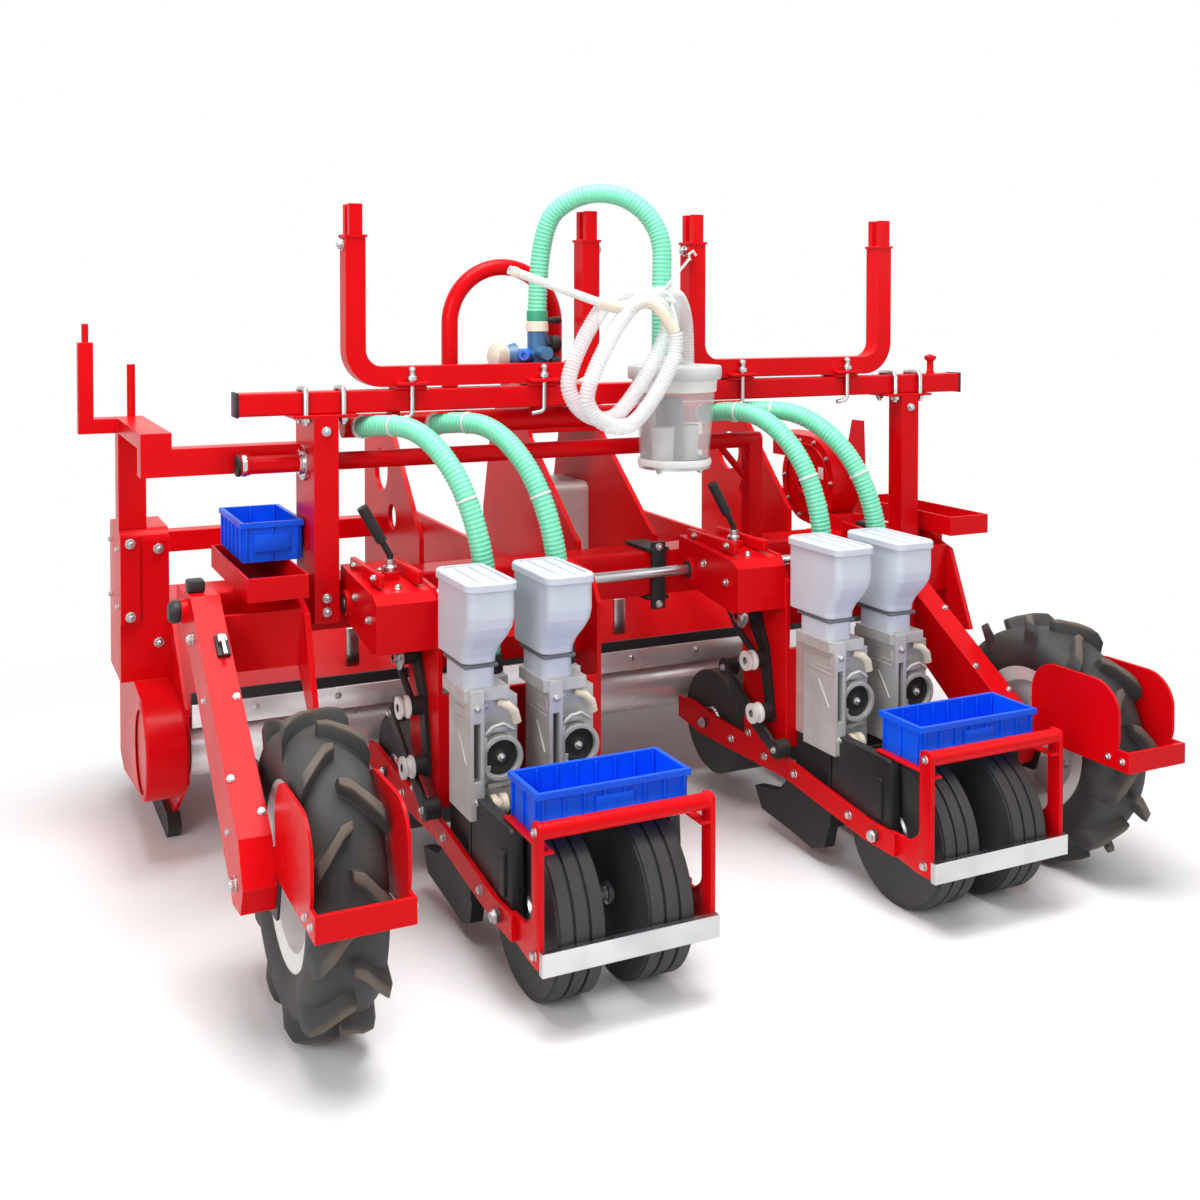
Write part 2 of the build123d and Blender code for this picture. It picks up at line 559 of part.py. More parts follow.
THROAT_Y = (HOPPER_Y - HOPPER_NECK[1] / 2, HOPPER_Y + HOPPER_NECK[1] / 2)
FOOT = level(METER_TOP_Z, THROAT_X, THROAT_Y)
THROAT = level(HOPPER_SHOULDER_Z, THROAT_X, THROAT_Y)


def raised(sections):
    """Same sections with the lowest lifted by the wall."""
    return [dict(sections[0], z=sections[0]["z"] + HOPPER_WALL)] + sections[1:]


def stack(sections, row, wall, mode):
    """Body through sections from the lowest up, set in by a wall."""
    faces = []
    for part in sections:
        with BuildSketch(Plane.XY.offset(part["z"])) as face:
            with Locations((row + sum(part["x"]) / 2, sum(part["y"]) / 2)):
                RectangleRounded(
                    part["x"][1] - part["x"][0] - 2 * wall, part["y"][1] - part["y"][0] - 2 * wall,
                    HOPPER_CORNER - wall)
        faces.append(face.sketch)
    loft(faces, ruled=True, mode=mode)


with BuildPart() as hoppers:
    for middle in UNIT_X:
        for offset in ROW_OFFSET:
            row = middle + offset
            stack([FOOT, THROAT], row, 0.0, Mode.ADD)
            stack(BELLY_LEVELS + [MOUTH], row, 0.0, Mode.ADD)
            stack(raised(BELLY_LEVELS) + [MOUTH], row, HOPPER_WALL, Mode.SUBTRACT)
            stack([FOOT, dict(THROAT, z=THROAT["z"] + HOPPER_WALL)], row, HOPPER_WALL, Mode.SUBTRACT)
save(hoppers.part, "hoppers")

# Lids that lift off the hoppers, with a raised rim
LID_RIM = 9.0
lid_number = 0
for middle in UNIT_X:
    for offset in ROW_OFFSET:
        lid_number += 1
        with BuildPart() as lid:
            with BuildSketch(Plane.XY.offset(HOPPER_TOP_Z)):
                with Locations((middle + offset, HOPPER_Y)):
                    RectangleRounded(
                        HOPPER_W + 2 * LID_EDGE, HOPPER_LEN + 2 * LID_EDGE, HOPPER_CORNER + LID_EDGE)
            extrude(amount=LID_TOP_Z - HOPPER_TOP_Z)
            chamfer(lid.edges().group_by(Axis.Z)[-1], 4)
            with BuildSketch(Plane.XY.offset(LID_TOP_Z)):
                with Locations((middle + offset, HOPPER_Y)):
                    RectangleRounded(
                        HOPPER_W - 2 * LID_RIM, HOPPER_LEN - 2 * LID_RIM, HOPPER_CORNER - LID_RIM / 2)
            extrude(amount=-3, mode=Mode.SUBTRACT)
        save(lid.part, "hopper_lid_" + str(lid_number))

# Opener shoes under the meters
SHOE_W = 28.0
SHOE_OUTLINE = (
    (118, METER_BOTTOM_Z), (122, 120), (142, 48), (190, 28), (286, 40), (399, 49), (431, 97),
    (330, 118), (258, 190), (250, METER_BOTTOM_Z))
with BuildPart() as openers:
    for middle in UNIT_X:
        for offset in ROW_OFFSET:
            row = middle + offset
            plate_yz(SHOE_OUTLINE, (row - SHOE_W / 2, row + SHOE_W / 2))
save(openers.part, "openers")

# Chain tensioner links with their idlers, on the left plate of each unit
LINK_OUTLINE = ((400, 562), (372, 556), (330, 470), (300, 300), (330, 290), (365, 455), (424, 540))
IDLERS = (dict(y=392.0, z=538.0), dict(y=318.0, z=320.0), dict(y=345.0, z=440.0))
with BuildPart() as tensioners:
    for middle in UNIT_X:
        face = middle - SIDE_BAR_X - SIDE_BAR
        plate_yz(LINK_OUTLINE, (face - 10, face))
        for idler in IDLERS:
            rod_x((face - 40, face - 10), idler["y"], idler["z"], 20)
save(tensioners.part, "tensioners")

# Cranks that set the depth of each unit: a steel rod bent to a grip
CRANK_RISE = 34.0
CRANK_THROW = (-62.0, 0.0, 108.0)
GRIP_R = 12.0
with BuildPart() as depth_cranks:
    for middle in UNIT_X:
        foot = (middle + sum(CRANK_PAD["x"]) / 2, sum(CRANK_PAD["y"]) / 2, CRANK_PAD["top"])
        knee = (foot[0], foot[1], foot[2] + CRANK_RISE)
        tip = (knee[0] + CRANK_THROW[0], knee[1] + CRANK_THROW[1], knee[2] + CRANK_THROW[2])
        grip = (knee[0] + 0.3 * CRANK_THROW[0], knee[1], knee[2] + 0.3 * CRANK_THROW[2])
        rod_between(foot, (knee[0], knee[1], knee[2] + 4), 7)
        rod_between(knee, tip, 7)
        rod_between(grip, tip, GRIP_R)
save(depth_cranks.part, "depth_cranks")

# Covers in front of the press rollers
with BuildPart() as roller_hoods:
    for middle in UNIT_X:
        block((middle - SIDE_BAR_X, middle + SIDE_BAR_X), (102, 110), (110, METER_BOTTOM_Z - 5))
        for low, high in sides(SIDE_BAR_X - 20, SIDE_BAR_X - 10):
            block((middle + low, middle + high), (-40, 102), (190, METER_BOTTOM_Z - 5))
save(roller_hoods.part, "roller_hoods")

# Handle frames behind the press rollers, with the rails under the bins
HANDLE_Y = (-235.0, -190.0)
with BuildPart() as handle_frames:
    for middle in UNIT_X:
        for low, high in sides(SIDE_BAR_X - 10, SIDE_BAR_X):
            x = (middle + low, middle + high)
            block(x, HANDLE_Y, (125, 385))
            block(x, (HANDLE_Y[1], -100), (137, 183))
        for low, high in sides(SIDE_BAR_X - 30, SIDE_BAR_X - 10):
            block((middle + low, middle + high), (HANDLE_Y[0], -45), (BIN_RAIL_Z, BIN_RAIL_Z + 6))
        block((middle - SIDE_BAR_X + 10, middle + SIDE_BAR_X - 10), (-232, -204), (357, 385))
save(handle_frames.part, "handle_frames")

with BuildPart() as step_bars:
    for middle in UNIT_X:
        block((middle - SIDE_BAR_X, middle + SIDE_BAR_X), (HANDLE_Y[0] - 14, HANDLE_Y[0]), (122, 164))
save(step_bars.part, "step_bars")

# Lugged tyres and their rims
HUB_R = 45.0
HALF_TREAD = TYRE_W / 2
RIM_PROFILE = (
    (-54, AXLE_R + RUN_FIT), (-54, HUB_R), (-6, HUB_R + 5), (-6, RIM_R - 32), (-50, RIM_R - 18),
    (-56, RIM_R + 14), (-44, RIM_R), (44, RIM_R), (56, RIM_R + 14), (50, RIM_R - 18),
    (6, RIM_R - 32), (6, HUB_R + 5), (34, HUB_R), (34, AXLE_R + RUN_FIT))
TYRE_PROFILE = (
    (-44, RIM_R), (-56, RIM_R + 14), (-HALF_TREAD + 6, RIM_R + 26), (-HALF_TREAD, RIM_R + 62),
    (-HALF_TREAD + 14, CARCASS_R), (HALF_TREAD - 14, CARCASS_R), (HALF_TREAD, RIM_R + 62),
    (HALF_TREAD - 6, RIM_R + 26), (56, RIM_R + 14), (44, RIM_R))
LUG_REACH = (LUG_LEN * math.sin(math.radians(LUG_LEAN)) + LUG_W * math.cos(math.radians(LUG_LEAN))) / 2
LUG_TOP = math.sqrt(TYRE_R ** 2 - LUG_REACH ** 2)
LUG_FOOT = CARCASS_R - 22
for wheel in WHEELS:
    with BuildPart() as rim:
        with BuildSketch(Plane.XZ):
            with BuildLine():
                Polyline(*RIM_PROFILE, close=True)
            make_face()
        revolve(axis=Axis.X)
    save(rim.part.moved(Location((wheel["x"], 0, TYRE_R))), "rim_" + wheel["name"])

    with BuildPart() as tyre:
        with BuildSketch(Plane.XZ):
            with BuildLine():
                Polyline(*TYRE_PROFILE, close=True)
            make_face()
        revolve(axis=Axis.X)
        step = 360 / LUGS_PER_SIDE
        for number in range(LUGS_PER_SIDE):
            for side in (-1, 1):
                turn = 180 + number * step + (step / 2 if side > 0 else 0)
                place = Location((0, 0, 0), (turn, 0, 0)) * Location(
                    (side * LUG_LEN * 0.36, 0, (LUG_FOOT + LUG_TOP) / 2), (0, 0, side * LUG_LEAN))
                with Locations(place):
                    Box(LUG_LEN, LUG_W, LUG_TOP - LUG_FOOT)
        for x in sides(HALF_TREAD, HALF_TREAD + LUG_LEN):
            block(x, (-TYRE_R, TYRE_R), (-TYRE_R, TYRE_R), mode=Mode.SUBTRACT)
    save(tyre.part.moved(Location((wheel["x"], 0, TYRE_R))), "tyre_" + wheel["name"])

# Press rollers, a pair on one axle
axle_end = SIDE_BAR_X + SIDE_BAR + 8
for name, middle in zip(("left", "right"), UNIT_X):
    with BuildPart() as press_rollers:
        rod_x((middle - axle_end, middle + axle_end), PRESS_Y, PRESS_R, PRESS_AXLE_R)
        for offset in (-PRESS_OFFSET, PRESS_OFFSET):
            low = middle + offset - PRESS_W / 2
            rod_x((low, low + PRESS_W), PRESS_Y, PRESS_R, PRESS_R - 6)
            for rib in range(3):
                start = low + 4 + rib * 31
                rod_x((start, start + 25), PRESS_Y, PRESS_R, PRESS_R)
    save(press_rollers.part, "press_rollers_" + name)

    with BuildPart() as front_rollers:
        rod_x((middle - axle_end, middle + axle_end), FRONT_Y, FRONT_Z, FRONT_AXLE_R)
        for offset in (-FRONT_OFFSET, FRONT_OFFSET):
            rod_x((middle + offset - FRONT_W / 2, middle + offset + FRONT_W / 2), FRONT_Y, FRONT_Z, FRONT_R)
    save(front_rollers.part, "front_rollers_" + name)

# Smooth bed roller
with BuildPart() as bed_roller:
    rod_x((-HOOD_HALF + SIDE_GAP, HOOD_HALF - SIDE_GAP), ROLLER_Y, ROLLER_Z, ROLLER_R)
    rod_x((-HOOD_HALF - SIDE_PLATE, HOOD_HALF + SIDE_PLATE), ROLLER_Y, ROLLER_Z, ROLLER_STUB_R)
save(bed_roller.part, "bed_roller")

# Tiller rotor: a pipe with flanges and bent tines
with BuildPart() as tiller_rotor:
    rod_x((-HOOD_HALF + 20, HOOD_HALF - 20), ROTOR_Y, ROTOR_Z, ROTOR_PIPE_R)
    rod_x((-HOOD_HALF - SIDE_PLATE, HOOD_HALF + SIDE_PLATE), ROTOR_Y, ROTOR_Z, ROTOR_STUB_R)
    pitch = (2 * HOOD_HALF - 260) / (ROTOR_FLANGES - 1)
    for number in range(ROTOR_FLANGES):
        x = -HOOD_HALF + 130 + number * pitch
        rod_x((x - 5, x + 5), ROTOR_Y, ROTOR_Z, 100)
        for turn, side in ((0, 1), (120, -1), (240, 1)):
            place = Location((x, ROTOR_Y, ROTOR_Z), (turn + 25 * number, 0, 0))
            with Locations(place * Location((side * 9, 0, 130))):
                Box(8, 40, 130)
            with Locations(place * Location((side * 30, 0, 191))):
                Box(50, 40, 8)
save(tiller_rotor.part, "tiller_rotor")

# Drive shaft across the units
with BuildPart() as drive_shaft:
    rod_x(SHAFT_X, SHAFT_Y, SHAFT_Z, SHAFT_R)
save(drive_shaft.part, "drive_shaft")

# Vacuum manifold under the toolbar, with a spigot for each hose and one for the valve
VALVE_FOOT_Z = 1075.0
with BuildPart() as vacuum_manifold:
    rod_x((-735, 330), MANIFOLD_Y, MANIFOLD_Z, MANIFOLD_R)
    for x in SPIGOT_X:
        rod_y(x, (SPIGOT_Y, MANIFOLD_Y), MANIFOLD_Z, HOSE_R)
    rod_z(VALVE_X, MANIFOLD_Y, (MANIFOLD_Z, VALVE_FOOT_Z), HOSE_R)
    for x in (-620, 60):
        block((x - 10, x + 10), (BAR_FRONT_Y, MANIFOLD_Y), (MANIFOLD_Z, 1090))
save(vacuum_manifold.part, "vacuum_manifold")

# Fan on the right end of the beam
FAN_X = (640.0, 730.0)
FAN_Y = 735.0
FAN_Z = 805.0
with BuildPart() as vacuum_fan:
    rod_x(FAN_X, FAN_Y, FAN_Z, 122)
    block(FAN_X, (600, FAN_Y), (BEAM_TOP, 720))
    block(FAN_X, (FAN_Y, FAN_Y + 170), (860, FAN_Z + 122))
    rod_x((FAN_X[0] - 1, FAN_X[0] + 40), FAN_Y, FAN_Z, 34, mode=Mode.SUBTRACT)
save(vacuum_fan.part, "vacuum_fan")

# Hoop that guards the valve
HOOP_X = (-455.0, -180.0)
HOOP_R = 20.0
HOOP_Y = 655.0
with BuildPart() as valve_hoop:
    reach = (HOOP_X[1] - HOOP_X[0]) / 2
    centre = (HOOP_X[0] + HOOP_X[1]) / 2
    with Locations(Location((centre, HOOP_Y, 1250), (90, 0, 0))):
        Torus(reach, HOOP_R)
    block((-600, 0), (HOOP_Y - 40, HOOP_Y + 40), (1000, 1250), mode=Mode.SUBTRACT)
    for x in HOOP_X:
        rod_z(x, HOOP_Y, (1058, 1250), HOOP_R)
        block((x - 14, x + 14), (BAR_FRONT_Y, HOOP_Y), (1062, 1100))
save(valve_hoop.part, "valve_hoop")

# Regulating valve
VALVE_TOP_Z = 1250.0
with BuildPart() as vacuum_valve:
    rod_z(VALVE_X, MANIFOLD_Y, (VALVE_FOOT_Z, VALVE_TOP_Z), 24)
    rod_x((VALVE_X - 60, VALVE_X), MANIFOLD_Y, 1170, 20)
    with Locations(Location((VALVE_X - 75, MANIFOLD_Y, 1170), (0, -90, 0))):
        Cone(34, 26, 30)
    rod_y(VALVE_X, (MANIFOLD_Y - 60, MANIFOLD_Y), 1180, 16)
save(vacuum_valve.part, "vacuum_valve")

# Seed bucket with its lid and bracket
with BuildPart() as bucket:
    for wall, mode in ((0.0, Mode.ADD), (BUCKET_WALL, Mode.SUBTRACT)):
        rise = (BUCKET_TOP_Z - BUCKET_BASE_Z) - wall
        with Locations((BUCKET_X, BUCKET_Y, BUCKET_BASE_Z + wall + rise / 2)):
            Cone(BUCKET_BASE_R - wall, BUCKET_R - wall, rise, mode=mode)
save(bucket.part, "bucket")

LID_SPIGOT = dict(x=-15.0, y=405.0, top=1170.0)
CLEAR_SPIGOT = dict(x=70.0, y=430.0, top=1156.0)
with BuildPart() as bucket_lid:
    rod_z(BUCKET_X, BUCKET_Y, (BUCKET_TOP_Z, BUCKET_TOP_Z + 24), BUCKET_R + 8)
    for spigot, radius in ((LID_SPIGOT, HOSE_R), (CLEAR_SPIGOT, CLEAR_R)):
        rod_z(spigot["x"], spigot["y"], (BUCKET_TOP_Z + 24, spigot["top"]), radius)
save(bucket_lid.part, "bucket_lid")

with BuildPart() as bucket_bracket:
    rod_z(BUCKET_X, BUCKET_Y, (BUCKET_BASE_Z - 8, BUCKET_BASE_Z), BUCKET_BASE_R + 4)
    block((BUCKET_X - 20, BUCKET_X + 20), (BUCKET_Y, BAR_REAR_Y + 8), (BUCKET_BASE_Z - 8, BUCKET_BASE_Z))
    block((BUCKET_X - 20, BUCKET_X + 20), (BAR_REAR_Y, BAR_REAR_Y + 8), (BUCKET_BASE_Z - 8, BAR_BOTTOM_Z))
save(bucket_bracket.part, "bucket_bracket")


def bends(points):
    """Corner radii that leave straight runs between the bends."""
    radii = []
    for a, b, c in zip(points, points[1:], points[2:]):
        one = Vector(*b) - Vector(*a)
        two = Vector(*c) - Vector(*b)
        half_turn = math.radians(one.get_angle(two)) / 2
        radii.append(0.45 * min(one.length, two.length) / math.tan(half_turn))
    return radii


def swept_hose(route, radius):
    """Hose along straight runs with tangent arcs between them."""
    radii = bends(route)
    with BuildLine() as path:
        FilletPolyline(*route, radius=radii)
    centre_line = path.wires()[0]
    with BuildSketch(Plane(origin=centre_line @ 0, z_dir=centre_line % 0)) as section:
        Circle(radius)
    sweep(section.sketch, path=centre_line)
    print("  bend radii", [round(r) for r in radii], "length", round(centre_line.length))
    return math.pi * radius ** 2 * centre_line.length


# Hoses from the manifold to the meters and over to the bucket
HOSE_SHAPE = (
    dict(across=0.0, back=0.0, drop=0.0), dict(across=0.0, back=112.0, drop=0.0),
    dict(across=0.22, back=212.0, drop=66.0), dict(across=0.68, back=272.0, drop=186.0),
    dict(across=1.0, back=SPIGOT_Y - INLET_Y, drop=330.0),
    dict(across=1.0, back=SPIGOT_Y - INLET_Y, drop=MANIFOLD_Z - INLET_Z))
HOSE_ROUTES = []
for start, (middle, offset) in zip(SPIGOT_X, [(m, r) for m in UNIT_X for r in ROW_OFFSET]):
    reach = middle + offset + INLET_SIDE - start
    HOSE_ROUTES.append([
        (start + p["across"] * reach, SPIGOT_Y - p["back"], MANIFOLD_Z - p["drop"]) for p in HOSE_SHAPE])
HOSE_ROUTES.append([
    (VALVE_X, MANIFOLD_Y, VALVE_TOP_Z), (VALVE_X, MANIFOLD_Y, 1475), (-181, 543, 1564), (-84, 462, 1564),
    (-8, 411, 1475), (LID_SPIGOT["x"], LID_SPIGOT["y"], 1330),
    (LID_SPIGOT["x"], LID_SPIGOT["y"], LID_SPIGOT["top"])])
for number, route in enumerate(HOSE_ROUTES, start=1):
    print("hose", number)
    with BuildPart() as hose:
        plain = swept_hose(route, HOSE_R)
    print("  volume over section times length", round(hose.part.volume / plain, 4))
    save(hose.part, "hose_" + str(number))

# Clear hose: a lead from the bucket's lid into the outer shape of its leaning loops
COIL_Y_LIMITS = (COIL_Y - COIL_DEEP / 2, COIL_Y + COIL_DEEP / 2)
CLEAR_ROUTE = [
    (CLEAR_SPIGOT["x"], CLEAR_SPIGOT["y"], CLEAR_SPIGOT["top"]),
    (CLEAR_SPIGOT["x"], CLEAR_SPIGOT["y"], 1230), (43, 403, 1291), (-5, 356, 1324), (-100, COIL_Y + 10, 1310)]
with BuildPart() as clear_hose:
    print("clear hose lead")
    swept_hose(CLEAR_ROUTE, CLEAR_R)
    with BuildSketch(Plane.XZ.offset(-COIL_Y_LIMITS[1])) as band:
        with Locations((COIL_X, COIL_Z)):
            SlotOverall(COIL_LONG, COIL_WIDE, rotation=90 - COIL_LEAN)
            SlotOverall(
                COIL_LONG - 2 * COIL_BAND, COIL_WIDE - 2 * COIL_BAND, rotation=90 - COIL_LEAN,
                mode=Mode.SUBTRACT)
    extrude(band.sketch, amount=COIL_DEEP)
save(clear_hose.part, "clear_hose")

# Lance at the hose's end and the tie to the fork
LANCE_ROOT = (-200.0, COIL_Y, 1283.0)
LANCE_TIP = (-468.0, COIL_Y, 1370.0)
with BuildPart() as lance:
    rod_between(LANCE_ROOT, LANCE_TIP, LANCE_R)
    bore = tuple(0.25 * root + 0.75 * tip for root, tip in zip(LANCE_ROOT, LANCE_TIP))
    rod_between(bore, LANCE_TIP, LANCE_BORE_R, mode=Mode.SUBTRACT)
    add(clear_hose.part, mode=Mode.SUBTRACT)
save(lance.part, "lance")

with BuildPart() as coil_tie:
    rod_between((-105, COIL_Y, 1318), (FORK_INNER_X, EYE_Y[0] + 8, TIE_Z), TIE_R)
    add(clear_hose.part, mode=Mode.SUBTRACT)
    block(EYE_X, (EYE_Y[0], EYE_Y[1] + 20), EYE_Z, mode=Mode.SUBTRACT)
save(coil_tie.part, "coil_tie")
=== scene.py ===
import json
import logging
import math
from dataclasses import dataclass
from enum import Enum
from functools import lru_cache
from typing import Dict, List, Optional, Sequence, Tuple, Union

import bmesh
import bpy
from mathutils import Matrix, Vector


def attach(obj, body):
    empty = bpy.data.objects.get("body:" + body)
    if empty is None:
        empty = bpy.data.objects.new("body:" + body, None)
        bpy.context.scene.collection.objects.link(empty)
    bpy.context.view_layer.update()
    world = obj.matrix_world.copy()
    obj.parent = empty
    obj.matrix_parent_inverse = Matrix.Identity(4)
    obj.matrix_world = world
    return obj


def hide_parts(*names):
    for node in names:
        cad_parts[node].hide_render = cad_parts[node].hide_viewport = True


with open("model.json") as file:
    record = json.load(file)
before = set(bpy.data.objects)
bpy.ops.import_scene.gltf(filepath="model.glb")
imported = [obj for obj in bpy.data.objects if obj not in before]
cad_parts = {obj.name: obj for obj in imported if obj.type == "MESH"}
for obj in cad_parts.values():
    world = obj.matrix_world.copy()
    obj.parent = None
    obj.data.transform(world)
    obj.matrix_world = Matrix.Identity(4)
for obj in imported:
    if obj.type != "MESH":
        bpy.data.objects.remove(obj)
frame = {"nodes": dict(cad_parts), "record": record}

LOG = logging.getLogger("seeder")
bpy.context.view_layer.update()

Colour = Tuple[float, float, float]
Point = Tuple[float, float, float]
Span = Tuple[float, float]
Outline = Tuple[Span, ...]
Box = Tuple[Span, Span, Span]
Place = Union[Point, Vector]

# Machine millimetres: X to the right, Y forward from the axle of the lugged wheels, Z up.
# The shift sets the middle of the machine's footprint at the origin, in metres.
SHIFT = Vector((0.0945, -0.541, 0))
MILLI = 1000.0
UNITS: Span = (-435, 435)
ROW_OFFSETS: Span = (-152, 18)
ROWS: List[float] = [middle + offset for middle in UNITS for offset in ROW_OFFSETS]


class Slot(Enum):
    """Material slots of the record."""

    RED = "red_paint"
    BLACK = "black_plastic"
    RUBBER = "rubber"
    TYRE = "tyre"
    RIM = "rim_white"
    STEEL = "steel"
    ALUMINIUM = "aluminium"
    HOPPER = "hopper_grey"
    HOSE = "hose_green"
    CLEAR = "clear_plastic"
    BLUE = "bin_blue"
    VALVE = "valve_blue"
    WHITE = "white_plastic"


class Along(Enum):
    """Axis that a round piece or a fastener points along."""

    LEFT = (-1, 0, 0)
    RIGHT = (1, 0, 0)
    REAR = (0, -1, 0)
    FRONT = (0, 1, 0)
    UP = (0, 0, 1)
    DOWN = (0, 0, -1)


LEFT, RIGHT, REAR, FRONT, UP, DOWN = (Vector(way.value) for way in Along)


def row(x: float, y: float, z: float) -> Vector:
    """Row frame place, in metres, of a point in machine millimetres.

    Args:
        x: Millimetres to the right of the machine's middle.
        y: Millimetres ahead of the lugged wheels' axle.
        z: Millimetres above the ground.

    Returns:
        The point in the row frame.
    """
    return Vector((x, y, z)) / MILLI + SHIFT


def in_row(place: Place) -> Vector:
    """Row frame place of a point that may be in machine millimetres.

    Args:
        place: Machine millimetres, or a vector that is in the row frame already.

    Returns:
        The point in the row frame.
    """
    return place if isinstance(place, Vector) else row(*place)


def ring(inner: float, outer: float, height: float) -> List[Span]:
    """Profile of a plain ring, or of a disc where the inner radius is nothing.

    Args:
        inner: Inner radius in millimetres.
        outer: Outer radius.
        height: Height along the axis.

    Returns:
        Points of (radius, height).
    """
    return [(inner, 0), (outer, 0), (outer, height), (inner, height)]


def evenly(count: int) -> List[float]:
    """Angles of places spread round a circle.

    Args:
        count: How many places.

    Returns:
        The angles in radians.
    """
    return [math.tau * number / count for number in range(count)]


def circle(x: float, centre: Span, radius: float, turns: Sequence[float]) -> List[Point]:
    """Places round an axis along X, in machine millimetres.

    Args:
        x: Where the circle lies across the machine.
        centre: Its middle as (Y, Z).
        radius: Its radius.
        turns: Angle of each place in radians.

    Returns:
        The places.
    """
    return [(x, centre[0] + radius * math.cos(turn), centre[1] + radius * math.sin(turn)) for turn in turns]


class Wiring:
    """Node tree with short calls that add and link its nodes."""

    def __init__(self, tree: bpy.types.NodeTree) -> None:
        """Take a tree.

        Args:
            tree: Tree that gets the nodes.
        """
        self.tree = tree

    def feed(self, node: bpy.types.Node, sockets: Dict[Union[int, str], object]) -> None:
        """Set or link the inputs of a node.

        Args:
            node: The node.
            sockets: Value or source of each input; nothing is done for None.
        """
        for label, value in sockets.items():
            if isinstance(value, bpy.types.NodeSocket):
                self.tree.links.new(value, node.inputs[label])
            elif value is not None:
                node.inputs[label].default_value = value

    def add(self, kind: str, sockets: Optional[Dict[Union[int, str], object]] = None,
            **settings: object) -> bpy.types.NodeOutputs:
        """Add a shader node.

        Args:
            kind: Type of the node without its prefix.
            sockets: Value or source of each input.
            **settings: Properties of the node, set before its inputs.

        Returns:
            The node's outputs.
        """
        node = self.tree.nodes.new("ShaderNode" + kind)
        for label, value in settings.items():
            setattr(node, label, value)
        self.feed(node, sockets or {})
        return node.outputs

    def blend(self, mask: bpy.types.NodeSocket, first: bpy.types.NodeSocket,
              second: object) -> bpy.types.NodeSocket:
        """Lay a colour over another by a mask.

        Args:
            mask: Share of the second colour.
            first: Colour below.
            second: Colour on top, or its socket.

        Returns:
            The blended colour.
        """
        return self.add("Mix", {"Factor": mask, "A": first, "B": second}, data_type="RGBA")["Result"]

    def spread(self, value: bpy.types.NodeSocket, low: object, high: object,
               end: str = "From") -> bpy.types.NodeSocket:
        """Map a value from or to a range.

        Args:
            value: The value.
            low: Lower limit, or its socket.
            high: Upper limit, or its socket.
            end: From where the limits are the value's own, To where they are the result's.

        Returns:
            The mapped value.
        """
        return self.add("MapRange", {"Value": value, end + " Min": low, end + " Max": high})["Result"]


